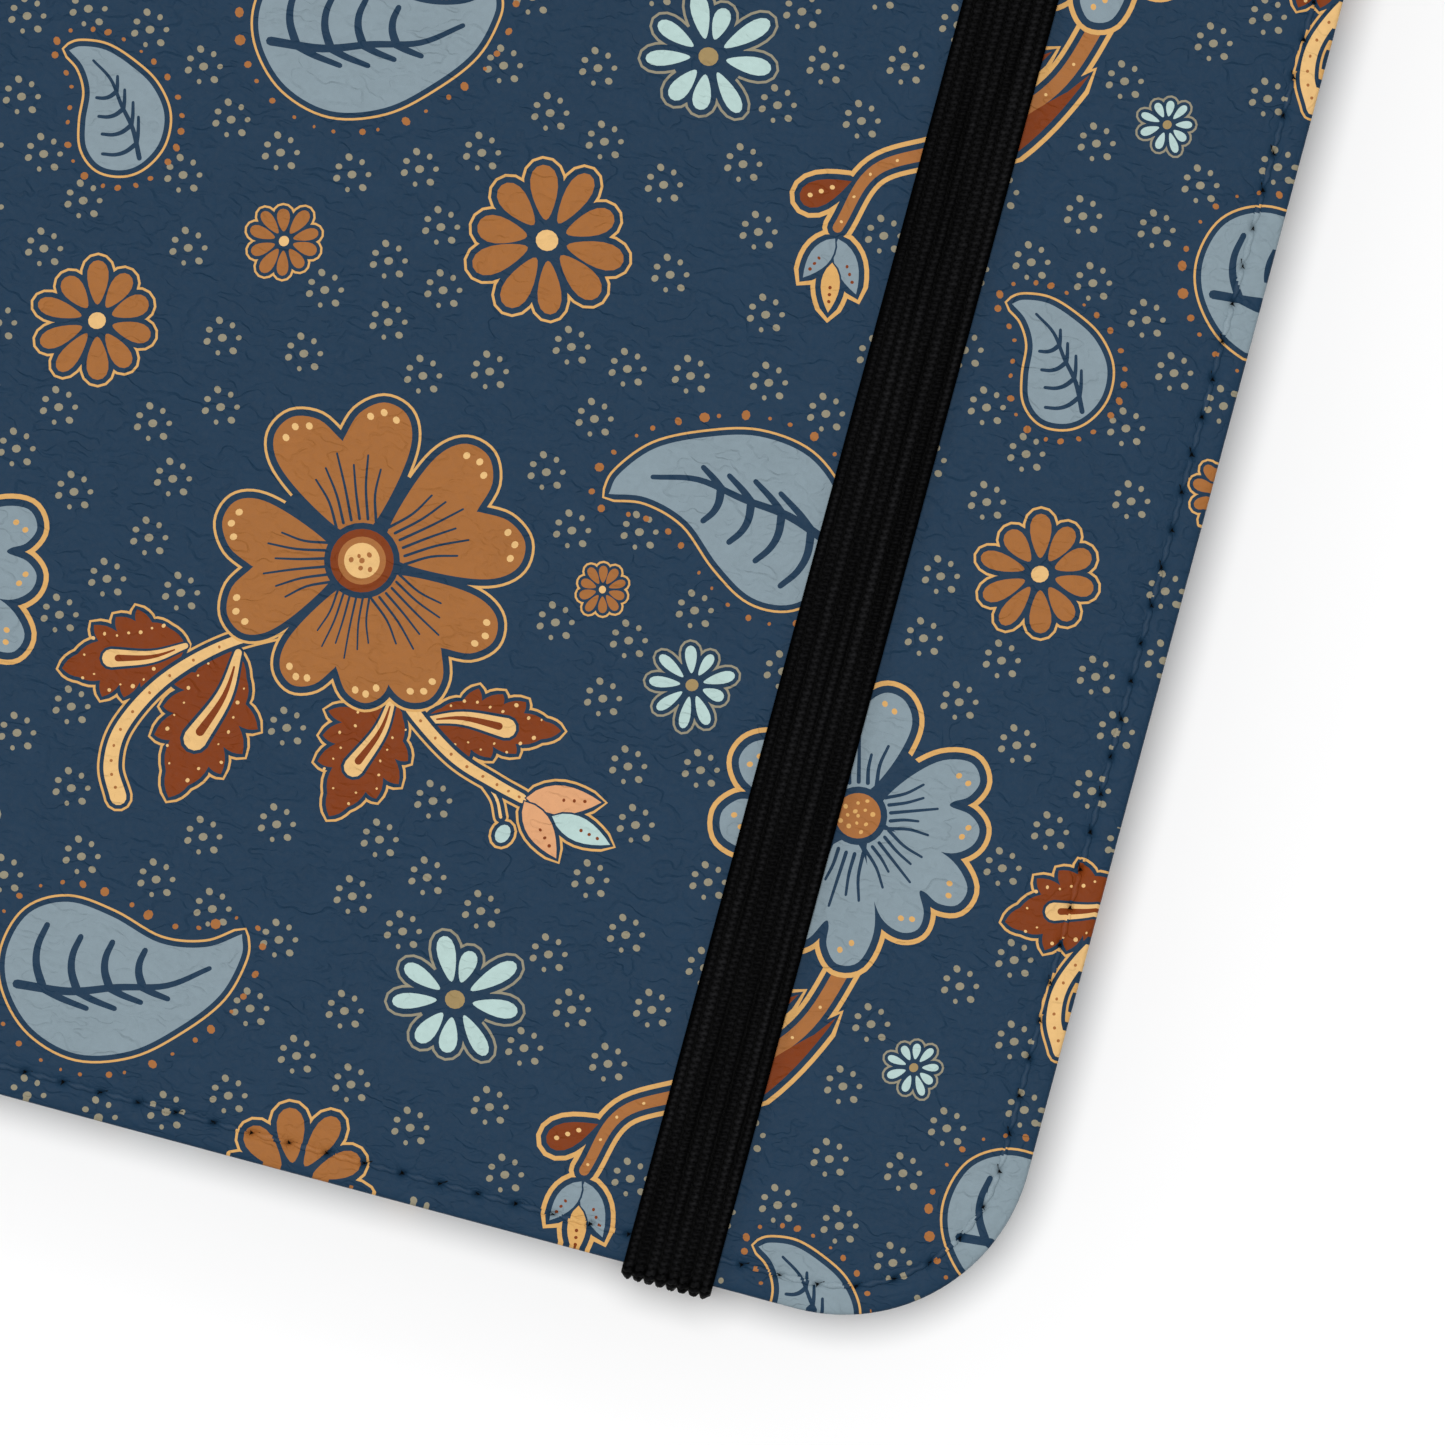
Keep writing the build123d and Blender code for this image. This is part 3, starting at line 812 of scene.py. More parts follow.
def boundary(leaf):
    """Outline of the sheet's outer face, and of the camera window in it."""
    seam = leaf.seams[0]
    rim = seam.at_inset(EDGE_LIP)[::2]
    low = complex(leaf.sheet_end, -half_length + EDGE_LIP)
    high = complex(leaf.sheet_end, half_length - EDGE_LIP)
    loops = [np.concatenate([rim, np.linspace(high, low, 60)])]
    for other in leaf.seams[1:]:
        loops.append(other.at_inset(EDGE_LIP)[::2])
    return loops


def inside_many(points, outline, batch=20000):
    """The inside test in batches, for long lists of points."""
    return np.concatenate([inside(points[k:k + batch], outline) for k in range(0, len(points), batch)])


def triangulate(loops, shapes, extra):
    """Triangles of the area inside the first loop and outside the others, cut along every shape."""
    points, edges = [], []
    for outline in loops + [shape for _, shape in shapes]:
        first = len(points)
        count = len(outline)
        points.extend(outline)
        edges.extend((first + k, first + (k + 1) % count) for k in range(count))
    points.extend(extra)
    coords = [Vector((p.real, p.imag)) for p in points]
    result = geometry.delaunay_2d_cdt(coords, edges, [], 0, 1e-5)
    flat = np.array([complex(*p) for p in result[0]])
    faces = np.array(result[2])
    middle = flat[faces].mean(1)
    keep = inside_many(middle, loops[0])
    for hole in loops[1:]:
        keep &= ~inside_many(middle, hole)
    return flat, faces[keep]


def rim_loops(faces):
    """Boundary loops of a triangle mesh, as lists of vertex numbers in order."""
    onward = {}
    pairs = set()
    for a, b, c in faces:
        pairs.update(((a, b), (b, c), (c, a)))
    for a, b in pairs:
        if (b, a) not in pairs:
            onward[a] = b
    loops = []
    while onward:
        start = next(iter(onward))
        loop = [start]
        here = onward.pop(start)
        while here != start:
            loop.append(here)
            here = onward.pop(here)
        loops.append(loop)
    return loops


# Shares of the lip's width and depths under the face, for the rows that round the cut edge.
RIM_CURVE = ((0.55, 0.05), (0.9, 0.16), (1.0, 0.32))
RIM_UNDERCUT = 0.12
RIM_UNDERSIDE = 0.85


def rim_rows(leaf, edge, depth):
    """Flat places and depths of the rows that lead over a cut edge to the inner face."""
    tangent = np.roll(edge, -1) - np.roll(edge, 1)
    outward = -1j * (tangent / np.abs(tangent))
    at_end = np.abs(edge.real - leaf.sheet_end) < 1e-3
    lip = np.where(at_end, 0, outward) * EDGE_LIP
    full = leaf.inner_depth(edge.real)
    rows = [(edge + lip * share, depth + drop) for share, drop in RIM_CURVE]
    rows.append((edge + lip, full - RIM_UNDERCUT))
    rows.append((edge + lip * RIM_UNDERSIDE, full))
    return rows


def outer_face(leaf, printed):
    """Triangles of the printed face and the ink of each one."""
    shapes = list(printed)
    # Each needle hole is filled with the near-black pit ink: painted shade inside the hole.
    for seam in leaf.seams:
        shapes += [("pit", outline) for outline in pit_outlines(seam)]
    flat, faces = triangulate(boundary(leaf), shapes, sheet_points(leaf))
    used = np.unique(faces)
    renumber = np.full(len(flat), -1)
    renumber[used] = np.arange(len(used))
    flat, faces = flat[used], renumber[faces]
    return flat, faces, list(inks_at(flat[faces].mean(1), shapes))


def inner_face(leaf, loops, numbers, count):
    """Triangles inside the last rows of the rim, and the new points that they need."""
    fold = np.concatenate([u + 1j * np.arange(-half_length + 2, half_length - 1, 4.0)
                           for u in np.arange(leaf.sheet_end + 0.7, bend_x + 1.0, 0.35)])
    flat, faces = triangulate(loops, [], fold)
    tree = nearest_tree(np.concatenate(loops))
    target = np.zeros(len(flat), int)
    fresh = []
    for k, point in enumerate(flat):
        _, index, distance = tree.find((point.real, point.imag, 0))
        if distance < 1e-4:
            target[k] = numbers[index]
        else:
            target[k] = count + len(fresh)
            fresh.append(point)
    return np.array(fresh, complex), [(c, b, a) for a, b, c in target[faces]]


def skin_mesh(leaf, printed):
    """The leaf's skin as one closed mesh: printed face, rounded cut edge and inner face."""
    flat, faces, inks = outer_face(leaf, printed)
    ink_beside = {}
    for (a, b, c), colour in zip(faces, inks):
        ink_beside.update({(a, b): colour, (b, c): colour, (c, a): colour})
    flats, depths = [flat], [relief(leaf, flat)]
    all_faces = [tuple(face) for face in faces]
    count = len(flat)
    last_rows = []
    for loop in rim_loops(faces):
        beside = [ink_beside[pair] for pair in zip(loop, np.roll(loop, -1))]
        upper = np.array(loop)
        for row_flat, row_depth in rim_rows(leaf, flat[loop], depths[0][loop]):
            lower = np.arange(count, count + len(loop))
            all_faces += zip(upper, lower, np.roll(lower, -1), np.roll(upper, -1))
            inks += beside
            flats.append(row_flat)
            depths.append(row_depth)
            count += len(loop)
            upper = lower
        last_rows.append((row_flat, upper))
    last_rows.sort(key=lambda row: -np.ptp(row[0].real))
    loops = [row_flat for row_flat, _ in last_rows]
    numbers = np.concatenate([row_numbers for _, row_numbers in last_rows])
    fresh, inner = inner_face(leaf, loops, numbers, count)
    flats.append(fresh)
    depths.append(leaf.inner_depth(fresh.real))
    all_faces += inner
    inks += [0] * len(inner)
    return np.concatenate(flats), np.concatenate(depths), all_faces, np.array(inks)


def build_object(name, points, faces, smooth_shading=True):
    """Mesh object from points in millimetres."""
    vertices = [tuple(point) for point in np.asarray(points) * MM]
    mesh = bpy.data.meshes.new(name)
    mesh.from_pydata(vertices, [], [tuple(int(k) for k in face) for face in faces])
    mesh.update()
    if smooth_shading:
        mesh.polygons.foreach_set("use_smooth", [True] * len(mesh.polygons))
    piece = bpy.data.objects.new(name, mesh)
    bpy.context.scene.collection.objects.link(piece)
    return piece


def store_sheet(mesh, flats, depths):
    """Each vertex keeps its place on the flat sheet, which the leather's grain follows."""
    sheet = mesh.attributes.new("sheet", "FLOAT_VECTOR", "POINT")
    values = np.stack([flats.real, flats.imag, depths], axis=-1)
    sheet.data.foreach_set("vector", values.astype(np.float32).ravel())


def store_inks(mesh, inks):
    """Each face corner keeps the colour printed there, or the painted shade of a needle hole."""
    palette = np.array([INKS[name] + (1.0,) for name in INK_NAMES])
    colours = mesh.color_attributes.new("ink", "FLOAT_COLOR", "CORNER")
    sizes = np.zeros(len(mesh.polygons), int)
    mesh.polygons.foreach_get("loop_total", sizes)
    values = np.repeat(palette[inks], sizes, axis=0)
    colours.data.foreach_set("color", values.astype(np.float32).ravel())


SHARP_ANGLE = math.radians(55)


def make_skin(leaf, printed):
    """One leaf's skin as a Blender piece, with hard edges kept hard."""
    flats, depths, faces, inks = skin_mesh(leaf, printed)
    if leaf.up < 0:
        faces = [tuple(reversed(face)) for face in faces]
    piece = build_object(leaf.name + "_skin", leaf.place(flats, depths), faces)
    store_sheet(piece.data, flats, depths)
    store_inks(piece.data, inks)
    piece.data.set_sharp_from_angle(angle=SHARP_ANGLE)
    return piece


# ---------------------------------------------------------------- materials

class Nodes:
    """Small helper that builds a node material from left to right."""

    def __init__(self, name):
        self.material = bpy.data.materials.new(name)
        self.material.use_nodes = True
        self.tree = self.material.node_tree
        self.shader = self.tree.nodes["Principled BSDF"]

    def add(self, kind, **settings):
        """A new node of the given kind."""
        node = self.tree.nodes.new(kind)
        for key, value in settings.items():
            setattr(node, key, value)
        return node

    def link(self, source, target):
        """Joins an output to an input."""
        self.tree.links.new(source, target)

    def attribute(self, name, output):
        """What a mesh keeps under a name."""
        return self.add("ShaderNodeAttribute", attribute_name=name).outputs[output]

    def plain(self, colour):
        """One colour, to be shaded by what follows."""
        node = self.add("ShaderNodeRGB")
        node.outputs[0].default_value = tuple(colour) + (1,)
        return node.outputs[0]

    def finish(self, colour, roughness, specular):
        """Joins the colour and the roughness to the shader."""
        self.link(colour, self.shader.inputs["Base Color"])
        self.link(roughness, self.shader.inputs["Roughness"])
        self.shader.inputs["Specular IOR Level"].default_value = specular

    def stretched(self, vector, scale, turn=0.0):
        """Coordinates scaled by axis and turned about the third."""
        node = self.add("ShaderNodeMapping")
        node.inputs["Scale"].default_value = scale
        node.inputs["Rotation"].default_value = (0, 0, turn)
        self.link(vector, node.inputs["Vector"])
        return node.outputs[0]

    def math(self, operation, a, b=0.0):
        """Result of an operation on numbers or outputs."""
        node = self.add("ShaderNodeMath", operation=operation)
        for socket, source in zip(node.inputs, (a, b)):
            if isinstance(source, (int, float)):
                socket.default_value = source
            else:
                self.link(source, socket)
        return node.outputs[0]

    def noise(self, vector, scale, detail=3.0, rough=0.55, output="Fac"):
        """Fractal noise."""
        node = self.add("ShaderNodeTexNoise")
        for key, number in zip(("Scale", "Detail", "Roughness"), (scale, detail, rough)):
            node.inputs[key].default_value = number
        self.link(vector, node.inputs["Vector"])
        return node.outputs[output]

    def remap(self, source, low, high, to_low=0.0, to_high=1.0):
        """Stretches one range of values to another."""
        node = self.add("ShaderNodeMapRange")
        for key, number in zip(("From Min", "From Max", "To Min", "To Max"), (low, high, to_low, to_high)):
            node.inputs[key].default_value = number
        self.link(source, node.inputs["Value"])
        return node.outputs[0]

    def bump(self, height, distance, strength):
        """Fine relief from a height."""
        node = self.add("ShaderNodeBump")
        node.inputs["Strength"].default_value = strength
        node.inputs["Distance"].default_value = distance
        self.link(height, node.inputs["Height"])
        self.link(node.outputs[0], self.shader.inputs["Normal"])

    def shade(self, colour, source, low, high):
        """Multiplies a colour by a grey that runs from low to high with the source."""
        mix = self.add("ShaderNodeMix", data_type="RGBA", blend_type="MULTIPLY")
        mix.inputs["Factor"].default_value = 1.0
        grey = self.remap(source, 0.0, 1.0, low, high)
        self.link(colour, mix.inputs[6])
        self.link(grey, mix.inputs[7])
        return mix.outputs[2]


def scaled_place(nodes):
    """Object coordinates in millimetres."""
    place = nodes.add("ShaderNodeTexCoord").outputs["Object"]
    scaled = nodes.add("ShaderNodeVectorMath", operation="SCALE")
    scaled.inputs["Scale"].default_value = 1 / MM
    nodes.link(place, scaled.inputs[0])
    return scaled.outputs[0]


def leather_grain(nodes, vector):
    """Wrinkles and fine grain of the leather-cloth, for coordinates in millimetres."""
    warp = nodes.noise(vector, 0.45, 2.5, 0.5, "Color")
    shift = nodes.add("ShaderNodeVectorMath", operation="MULTIPLY_ADD")
    nodes.link(warp, shift.inputs[0])
    shift.inputs[1].default_value = (1.7, 1.7, 1.7)
    nodes.link(vector, shift.inputs[2])
    stretched = nodes.stretched(shift.outputs[0], (0.5, 1.0, 1.0))
    broad = nodes.noise(vector, 0.30, 4.0, 0.65)
    fine = nodes.noise(vector, 2.8, 4.0, 0.65)
    wrinkles = []
    for scale, width in ((0.42, 0.026), (0.95, 0.045)):
        level = nodes.noise(stretched, scale, 1.5, 0.5)
        from_line = nodes.math("ABSOLUTE", nodes.math("SUBTRACT", level, 0.5))
        wrinkles.append(nodes.remap(from_line, 0.0, width, 1.0, 0.0))
    net = nodes.add("ShaderNodeTexVoronoi", feature="DISTANCE_TO_EDGE")
    net.inputs["Scale"].default_value = 0.9
    nodes.link(stretched, net.inputs["Vector"])
    cells = nodes.remap(net.outputs["Distance"], 0.0, 0.16, 1.0, 0.0)
    long_folds = nodes.math("MULTIPLY", wrinkles[0], nodes.remap(broad, 0.38, 0.60))
    short_folds = nodes.math("MULTIPLY", wrinkles[1], nodes.remap(broad, 0.64, 0.42))
    # crease marks the wrinkles: it sets the bump's valleys, and the leather materials darken their colour
    # along it as painted shade.
    crease = nodes.math("MAXIMUM", long_folds, nodes.math("MULTIPLY", short_folds, 0.8))
    crease = nodes.math("MAXIMUM", crease, nodes.math("MULTIPLY", cells, 0.45))
    height = nodes.math("MULTIPLY", crease, -0.65)
    height = nodes.math("ADD", height, nodes.math("MULTIPLY", fine, 0.5))
    return height, crease, fine, broad


def printed_leather():
    """Satin leather-cloth whose colour is the print, darkened a little along the creases as painted shade.
    """
    nodes = Nodes("printed_leather")
    height, crease, fine, broad = leather_grain(nodes, nodes.attribute("sheet", "Vector"))
    # Painted shade: the print darkens slightly along the creases.
    colour = nodes.shade(nodes.attribute("ink", "Color"), crease, 1.01, 0.95)
    colour = nodes.shade(colour, fine, 0.84, 1.02)
    colour = nodes.shade(colour, broad, 0.93, 1.07)
    nodes.finish(colour, nodes.remap(fine, 0.3, 0.7, 0.62, 0.72), 0.16)
    nodes.bump(height, 0.00009, 0.9)
    return nodes.material


def plain_leather():
    """The same leather-cloth without print, for the card slots, darkened along the creases as painted shade.
    """
    nodes = Nodes("navy_leather")
    height, crease, fine, broad = leather_grain(nodes, scaled_place(nodes))
    # Strong painted shade in the creases: the navy darkens to two thirds along them.
    colour = nodes.shade(nodes.plain(INKS["ground"]), crease, 1.05, 0.66)
    colour = nodes.shade(colour, fine, 0.76, 1.24)
    colour = nodes.shade(colour, broad, 0.8, 1.2)
    nodes.finish(colour, nodes.remap(fine, 0.3, 0.7, 0.52, 0.64), 0.25)
    nodes.bump(height, 0.00012, 0.8)
    return nodes.material


THREAD_LIGHTNESS = 1.5


def thread_material(printed):
    """Twisted polyester thread, either printed over or plain navy."""
    nodes = Nodes("printed_thread" if printed else "navy_thread")
    place = scaled_place(nodes)
    if printed:
        base = nodes.attribute("ink", "Color")
    else:
        base = nodes.plain(THREAD_LIGHTNESS * part for part in INKS["ground"])
    fibres = nodes.noise(place, 9.0, 3.0, 0.6)
    tone = nodes.noise(place, 0.7, 2.0)
    colour = nodes.shade(base, fibres, 0.70, 1.2)
    colour = nodes.shade(colour, tone, 0.88, 1.12)
    nodes.link(colour, nodes.shader.inputs["Base Color"])
    nodes.shader.inputs["Roughness"].default_value = 0.6
    nodes.shader.inputs["Specular IOR Level"].default_value = 0.2
    nodes.bump(fibres, 0.00004, 0.6)
    return nodes.material


def elastic_material():
    """Black textured yarn with painted shade between the beads, painted highlights on their crests, and
    lengthwise rows painted brighter as highlight.
    """
    nodes = Nodes("black_elastic")
    sheet = nodes.attribute("sheet", "Vector")
    strands = nodes.noise(nodes.stretched(sheet, (7.0, 2.2, 1.0), 0.5), 2.2, 3.0, 0.6)
    row_highlight = nodes.noise(nodes.stretched(sheet, (1.3, 0.05, 0.0)), 1.0, 2.0)
    lift = nodes.add("ShaderNodeSeparateXYZ")
    nodes.link(sheet, lift.inputs[0])
    base = nodes.plain((0.0013, 0.0013, 0.0014))
    # Painted shade and highlight by height: dark in the valleys between the beads, up to four times brighter
    # on the crests.
    colour = nodes.shade(base, nodes.remap(lift.outputs["Z"], 0.10, 0.32), 0.15, 4.0)
    # Painted highlight: lengthwise bands of rows made up to twice as bright.
    colour = nodes.shade(colour, nodes.remap(row_highlight, 0.38, 0.62), 0.5, 2.0)
    colour = nodes.shade(colour, strands, 0.4, 1.6)
    nodes.finish(colour, nodes.remap(strands, 0.3, 0.7, 0.34, 0.52), 0.02)
    nodes.bump(strands, 0.00005, 0.7)
    return nodes.material


def textured(name, colour, grain, roughness, bump, stretch=(1, 1, 1), shine=0.2, **amounts):
    """Material with a fine grain, a mottle at two scales and changes of roughness."""
    contrast = amounts.get("contrast", 0.3)
    mottle = amounts.get("mottle", 0.22)
    nodes = Nodes(name)
    place = scaled_place(nodes)
    stretched = nodes.stretched(place, stretch, 0.3)
    fine = nodes.noise(stretched, grain, 5.0, 0.7)
    brushed = nodes.noise(stretched, grain / 7, 3.0, 0.6)
    tone = nodes.noise(place, 0.09, 3.0)
    shaded = nodes.shade(nodes.plain(colour), fine, 1 - contrast, 1 + contrast)
    shaded = nodes.shade(shaded, nodes.remap(brushed, 0.3, 0.7), 1 - mottle, 1 + mottle)
    shaded = nodes.shade(shaded, nodes.remap(tone, 0.3, 0.7), 1 - mottle * 0.6, 1 + mottle * 0.6)
    nodes.finish(shaded, nodes.remap(tone, 0.3, 0.7, roughness - 0.06, roughness + 0.06), shine)
    nodes.shader.inputs["Sheen Weight"].default_value = amounts.get("sheen", 0.0)
    nodes.bump(fine, bump * MM, 0.6)
    return nodes.material


def paint(piece, material):
    """Gives a piece, or a carried-over CAD node, one material."""
    piece.data.materials.clear()
    piece.data.materials.append(material)


# ---------------------------------------------------------------- threads

STRAND_SIDES = 8
STRAND_SECTIONS = 21
STRAND_FLATNESS = 0.55
STITCH_HALF_WIDTH = 0.24
STITCH_SINK = 0.01


def strand():
    """Short twisted thread that tapers at both ends: shares along it, and unit offsets across and up."""
    t = np.linspace(0.03, 0.97, STRAND_SECTIONS)[:, None]
    angle = np.arange(STRAND_SIDES)[None, :] * 2 * math.pi / STRAND_SIDES
    radius = np.sin(math.pi * t) ** 0.35 * (1 + 0.2 * np.cos(2 * (angle - 2 * math.pi * 1.2 * t)))
    return t, radius * np.cos(angle), radius * np.sin(angle) * STRAND_FLATNESS


def strand_faces(first):
    """Faces of one strand whose first vertex has the given number."""
    faces = []
    for ring in range(STRAND_SECTIONS - 1):
        for side in range(STRAND_SIDES):
            a = first + ring * STRAND_SIDES + side
            b = first + ring * STRAND_SIDES + (side + 1) % STRAND_SIDES
            faces.append((a, b, b + STRAND_SIDES, a + STRAND_SIDES))
    last = first + (STRAND_SECTIONS - 1) * STRAND_SIDES
    faces.append(tuple(range(first + STRAND_SIDES - 1, first - 1, -1)))
    faces.append(tuple(range(last, last + STRAND_SIDES)))
    return faces


def seam_stitches(name, leaf, seam, shapes):
    """Thread that shows between a seam's needle holes. The print runs over it, as over the leather."""
    places, _ = seam.holes()
    pairs = list(zip(places, np.roll(places, -1)))
    if not seam.closed:
        pairs = pairs[:-1]
    t, across, up = strand()
    flats, lifts, faces = [], [], []
    for number, (start, end) in enumerate(pairs):
        way = (end - start) / abs(end - start)
        flats.append((start + (end - start) * t + 1j * way * across * STITCH_HALF_WIDTH).ravel())
        lifts.append((up * STITCH_HALF_WIDTH).ravel())
        faces += strand_faces(number * STRAND_SIDES * STRAND_SECTIONS)
    middles = np.array([start + (end - start) * share for start, end in pairs for share in t[:, 0]])
    depths = np.repeat(relief(leaf, middles), STRAND_SIDES) - np.concatenate(lifts) + STITCH_SINK
    flats = np.concatenate(flats)
    centres = np.array([flats[list(face)].mean() for face in faces])
    if leaf.up < 0:
        faces = [tuple(reversed(face)) for face in faces]
    piece = build_object(name, leaf.place(flats, depths), faces)
    store_sheet(piece.data, flats, depths)
    store_inks(piece.data, inks_at(centres, shapes))
    return piece


def sewn_line(start, end):
    """Ends of the stitches along a straight line."""
    start, end = np.array(start, float), np.array(end, float)
    count = max(1, round(np.linalg.norm(end - start) / STITCH_PITCH))
    return [(start + (end - start) * (k + 0.1) / count, start + (end - start) * (k + 0.9) / count)
            for k in range(count)]


def plain_stitches(name, stitches, up, half_width):
    """Stitches in the open, as separate twisted strands between pairs of points."""
    t, across, lift = strand()
    points, faces = [], []
    for number, (start, end) in enumerate(stitches):
        side = np.cross(up, end - start)
        side /= np.linalg.norm(side)
        line = start + (end - start) * t
        rings = line[:, None, :] + side * across[:, :, None] * half_width
        points.append((rings + np.array(up) * lift[:, :, None] * half_width).reshape(-1, 3))
        faces += strand_faces(number * STRAND_SIDES * STRAND_SECTIONS)
    return build_object(name, np.concatenate(points), faces)


TACK_STITCHES = 15
TACK_LIFT = 0.12
TACK_HALF_WIDTH = 0.19
SLOT_LIFT = 0.1
SLOT_HALF_WIDTH = 0.21


def bar_tack(node):
    """Dense zigzag that holds the end of the elastic, on the outer face of the back."""
    low, high = millimetres(node)
    step = (high[0] - low[0]) / TACK_STITCHES
    level = low[2] + TACK_LIFT
    stitches = []
    for k in range(TACK_STITCHES):
        x = low[0] + step * (k + 0.5)
        start = np.array([x - step * 0.2, low[1], level])
        end = np.array([x + step * 0.2, high[1], level])
        stitches.append((start, end))
    middle = (low[1] + high[1]) / 2
    stitches += sewn_line((low[0], middle, level + 0.05), (high[0], middle, level + 0.05))
    return plain_stitches(node + "_stitches", stitches, (0, 0, -1), TACK_HALF_WIDTH)


def slot_stitches():
    """Seams of the card slots, each on the part of the leaf that shows."""
    low, high = millimetres("card_slot_thread")
    bottom, top = low[1] + THREAD_HALF, high[1] - THREAD_HALF
    end_x = high[0] - THREAD_HALF
    leaves = [millimetres("card_slot_" + which) for which in ("first", "second", "third")]
    stitches = []
    for k, (leaf_low, _) in enumerate(leaves):
        last = k == len(leaves) - 1
        x_end = end_x if last else leaves[k + 1][0][0]
        level = leaf_low[2] + SLOT_LIFT
        for y in (bottom, top):
            stitches += sewn_line((leaf_low[0] + 1.0, y, level), (x_end, y, level))
    stitches += sewn_line((end_x, bottom, level), (end_x, top, level))
    return plain_stitches("slot_stitches", stitches, (0, 0, -1), SLOT_HALF_WIDTH)


# ---------------------------------------------------------------- strap

RIBS = 8
ACROSS_PER_RIB = 5
BUMP_PITCH = 0.43
STEPS_PER_BUMP = 4
STRAP_HALF = 0.45
LEAST_RIB = 0.04
RIB_HEIGHT = 0.38


def strap_path():
    """Middle line of the strap in the YZ plane, with outward normals and the distance along it."""
    face = strap_high[2] - STRAP_HALF
    wall = strap_high[1] - STRAP_HALF
    hem = (tail_low[2] + tail_high[2]) / 2
    bend, turn = 0.95, 0.55
    runs = [
        line_run(complex(-wall + turn + 0.4, hem), complex(-wall + turn, hem), -1j),
        arc_run(complex(-wall + turn, hem + turn), turn, -QUARTER, -2 * QUARTER, 1, 0),
        line_run(complex(-wall, hem + turn), complex(-wall, face - bend), -1),
        arc_run(complex(-wall + bend, face - bend), bend, 2 * QUARTER, QUARTER, 1, 0),
        line_run(complex(-wall + bend, face), complex(0, face), 1j),
    ]
    total = sum(run["length"] for run in runs)
    reach = np.linspace(0, total, int(total / BUMP_PITCH * STEPS_PER_BUMP) + 1)
    points, normals = walk(runs, reach)
    points = np.concatenate([points, -np.conj(points[-2::-1])])
    normals = np.concatenate([normals, -np.conj(normals[-2::-1])])
    return points, normals, np.concatenate([reach, 2 * total - reach[-2::-1]])


def rib_heights(travel, across):
    """Height of the outer face over the middle line: ribs, each of two staggered rows of beads."""
    rib = np.minimum(across.astype(int), RIBS - 1)
    share = across - rib
    row = 2 * rib + (share > 0.5)
    phase = travel[:, None] / BUMP_PITCH + (0.63 * row)[None, :] + 0.5 * share[None, :]
    sizes = np.random.default_rng(5).uniform(0.55, 1.0, (2 * RIBS, int(phase.max()) + 1))
    bead = np.abs(np.sin(math.pi * phase)) * sizes[row[None, :], phase.astype(int)]
    notch = 0.3 * np.exp(-((share - 0.5) / 0.09) ** 2)
    body = np.clip(np.sin(math.pi * share), 0, 1) ** 0.6 * (1 - notch)
    from_edge = np.minimum(across, RIBS - across)
    rim = np.clip(0.15 + from_edge * 1.6, 0, 1)
    return (LEAST_RIB + RIB_HEIGHT * body[None, :] * (0.12 + 0.88 * bead)) * rim[None, :]


def make_strap():
    """Woven elastic with lengthwise ribs on its outer face."""
    points, normals, travel = strap_path()
    outer_at = np.linspace(0, RIBS, RIBS * ACROSS_PER_RIB + 1)
    inner_at = np.linspace(RIBS, 0, RIBS + 1)
    rows = len(travel)
    at = np.concatenate([outer_at, inner_at])
    inner = np.where((inner_at == 0) | (inner_at == RIBS), -0.2, -0.4)
    height = np.hstack([rib_heights(travel, outer_at), np.tile(inner, (rows, 1))])
    place = points[:, None] + normals[:, None] * height
    x = (at / RIBS - 0.5) * (strap_width - 0.1)
    grid = np.stack([strap_x + np.tile(x, (rows, 1)), place.real, place.imag], axis=-1)
    wide = len(at)
    faces = []
    for row in range(rows - 1):
        for column in range(wide):
            a = row * wide + column
            b = row * wide + (column + 1) % wide
            faces.append((a, b, b + wide, a + wide))
    faces.append(tuple(range(wide - 1, -1, -1)))
    faces.append(tuple(range((rows - 1) * wide, rows * wide)))
    piece = build_object("woven_strap", grid.reshape(-1, 3), faces)
    flats = (x[None, :] + 1j * travel[:, None]).ravel()
    store_sheet(piece.data, flats, height.ravel())
    return piece


# ---------------------------------------------------------------- pieces

repeat = print_repeat()
leather = printed_leather()
printed_thread = thread_material(True)

skins = {}
edge_stitches = {}
for leaf in (front_leaf, back_leaf):
    shapes = printed_on(leaf, repeat)
    skins[leaf.name] = make_skin(leaf, shapes)
    paint(skins[leaf.name], leather)
    edge_stitches[leaf.name] = seam_stitches(leaf.name + "_edge_stitches", leaf, leaf.seams[0], shapes)
    paint(edge_stitches[leaf.name], printed_thread)
window_stitches = seam_stitches("window_stitches", back_leaf, back_leaf.seams[1], shapes)
paint(window_stitches, printed_thread)


for piece in (skins["front"], edge_stitches["front"]):
    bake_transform(piece)
for piece in (skins["back"], edge_stitches["back"]):
    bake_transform(piece)
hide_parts("front_cover_leather", "spine_leather")
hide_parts("back_cover_leather")
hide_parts("front_edge_thread", "spine_thread")
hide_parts("back_edge_thread")
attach(window_stitches, "back")
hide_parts("camera_window_thread")

navy_thread = thread_material(False)
for node in ("strap_tack_bottom", "strap_tack_top"):
    tack = bar_tack(node)
    paint(tack, navy_thread)
    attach(tack, "back")
    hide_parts(node)
slots = slot_stitches()
paint(slots, navy_thread)
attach(slots, "front_cover")
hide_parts("card_slot_thread")

elastic = elastic_material()
strap = make_strap()
paint(strap, elastic)
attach(strap, "strap")
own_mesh(strap)
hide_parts("elastic_strap")

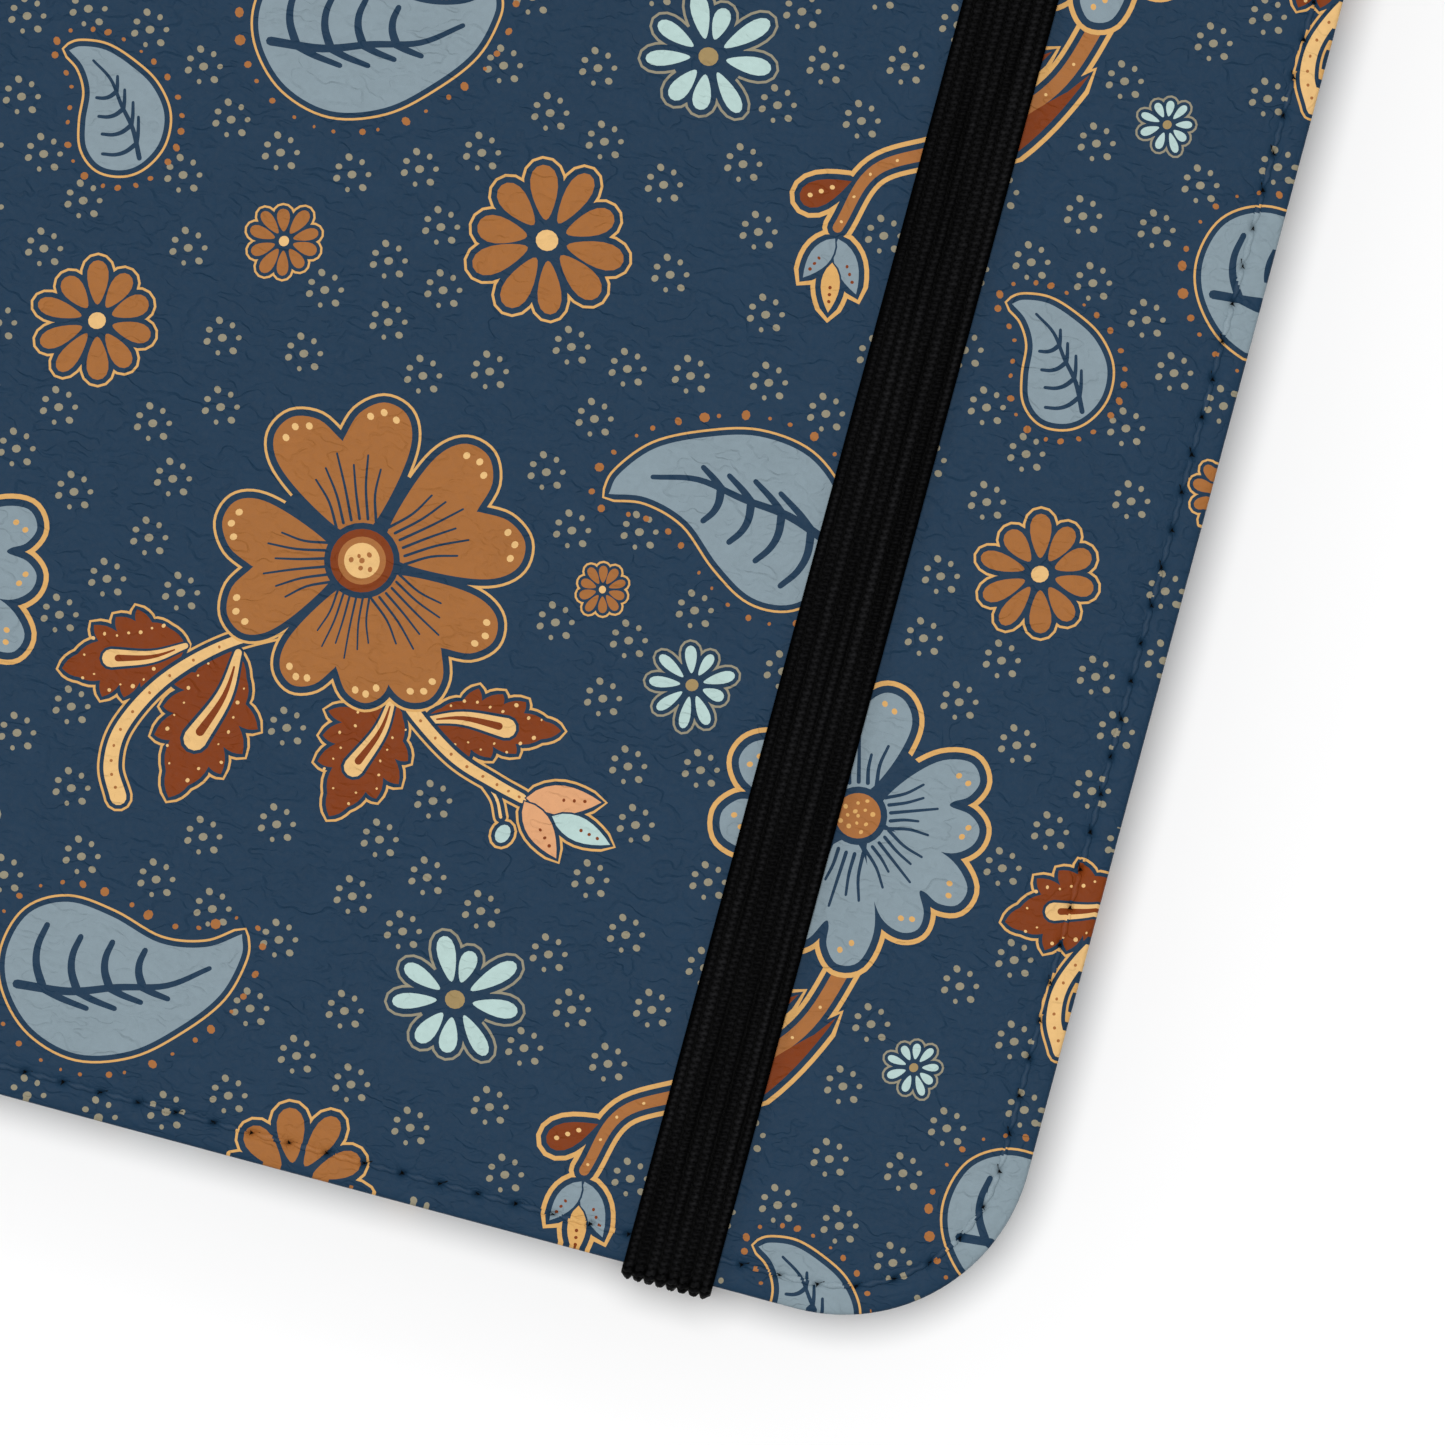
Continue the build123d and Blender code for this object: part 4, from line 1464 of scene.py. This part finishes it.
pocket = plain_leather()
microfibre = textured("microfibre", linear(46, 60, 78), grain=4.0, roughness=0.88, bump=0.12,
                      stretch=(1.0, 0.3, 1.0), shine=0.15, sheen=0.25, contrast=0.5, mottle=0.34)
moulded = textured("moulded_plastic", (0.012, 0.014, 0.018), grain=3.2, roughness=0.45, bump=0.05,
                   shine=0.4, contrast=0.35, mottle=0.16)
paper_board = textured("paper_board", (0.26, 0.20, 0.13), grain=3.0, roughness=0.9, bump=0.05,
                       stretch=(1.0, 0.2, 1.0))
hem_elastic = textured("hem_elastic", (0.004, 0.004, 0.0045), grain=2.4, roughness=0.55, bump=0.08,
                       stretch=(1.0, 5.0, 1.0), shine=0.1, contrast=0.5)
foam_tape = textured("foam_tape", (0.6, 0.6, 0.57), grain=2.5, roughness=0.8, bump=0.06, contrast=0.12)
carried_over = {
    microfibre: ("back_cover_lining", "front_cover_lining", "spine_lining"),
    paper_board: ("back_cover_board", "front_cover_board", "spine_board"),
    pocket: ("cash_pocket_panel", "card_slot_first", "card_slot_second", "card_slot_third"),
    moulded: ("phone_shell",),
    foam_tape: ("shell_adhesive_pad",),
    hem_elastic: ("strap_tail_bottom", "strap_tail_top"),
}
for material, names in carried_over.items():
    for node in names:
        paint(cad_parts[node], material)

sheet_length = 2 * half_length * MM
for leaf, node in ((front_leaf, "front_cover_board"), (back_leaf, "back_cover_board")):
    sheet_width = (free_edge - leaf.sheet_end) * MM
    cut_area = sheet_width * sheet_length
    if leaf is back_leaf:
        cut_area -= math.prod((window_high - window_low)[:2] - 2 * WINDOW_SEAM) * MM ** 2


# ---------------------------------------------------------------- stage, light and camera

VIEW_TURN = math.radians(15.05)
VIEW_WIDTH = 92.2
VIEW_IN_FROM_EDGE = 26.3
VIEW_UP_FROM_EDGE = 34.9
LENS = 1000.0
SENSOR_WIDTH = 36.0
WORLD_STRENGTH = 0.36


def make_floor():
    """Plain pale floor, a hair under the back cover."""
    size, level = 3000.0, -0.03
    corners = [(-size, -size, level), (size, -size, level), (size, size, level), (-size, size, level)]
    floor = build_object("floor", corners, [(0, 1, 2, 3)], smooth_shading=False)
    nodes = Nodes("pale_floor")
    nodes.shader.inputs["Base Color"].default_value = (0.9, 0.9, 0.9, 1)
    nodes.shader.inputs["Roughness"].default_value = 0.9
    nodes.shader.inputs["Specular IOR Level"].default_value = 0.1
    paint(floor, nodes.material)


def make_light(name, place, size, power):
    """Soft round lamp, in metres and watts, aimed at the case."""
    light = bpy.data.lights.new(name, "AREA")
    light.shape = "DISK"
    light.size = size
    light.energy = power
    lamp = bpy.data.objects.new(name, light)
    bpy.context.scene.collection.objects.link(lamp)
    lamp.location = place
    lamp.rotation_mode = "QUATERNION"
    lamp.rotation_quaternion = (-Vector(place)).to_track_quat("-Z", "Y")


def make_camera():
    """Camera straight above the bottom free corner, turned as in the photo."""
    centre_x = free_edge - VIEW_IN_FROM_EDGE
    centre_y = -half_length + VIEW_UP_FROM_EDGE
    data = bpy.data.cameras.new("camera")
    data.lens = LENS
    data.sensor_width = SENSOR_WIDTH
    distance = VIEW_WIDTH * MM * LENS / SENSOR_WIDTH
    data.clip_start = 0.1
    data.clip_end = 10.0
    camera = bpy.data.objects.new("camera", data)
    bpy.context.scene.collection.objects.link(camera)
    camera.location = (centre_x * MM, centre_y * MM, front_high[2] * MM + distance)
    camera.rotation_euler = (0, 0, VIEW_TURN)
    bpy.context.scene.camera = camera


def make_world():
    """Even white surroundings."""
    world = bpy.data.worlds.new("studio")
    world.use_nodes = True
    background = world.node_tree.nodes["Background"]
    background.inputs["Color"].default_value = (1, 1, 1, 1)
    background.inputs["Strength"].default_value = WORLD_STRENGTH
    bpy.context.scene.world = world


bpy.context.scene.view_settings.view_transform = "Standard"
make_floor()
make_world()
make_light("overhead", place=(0.0, -0.055, 0.9), size=0.23, power=6.7)
make_light("side", place=(-0.75, 0.55, 0.75), size=0.5, power=2.2)
make_camera()
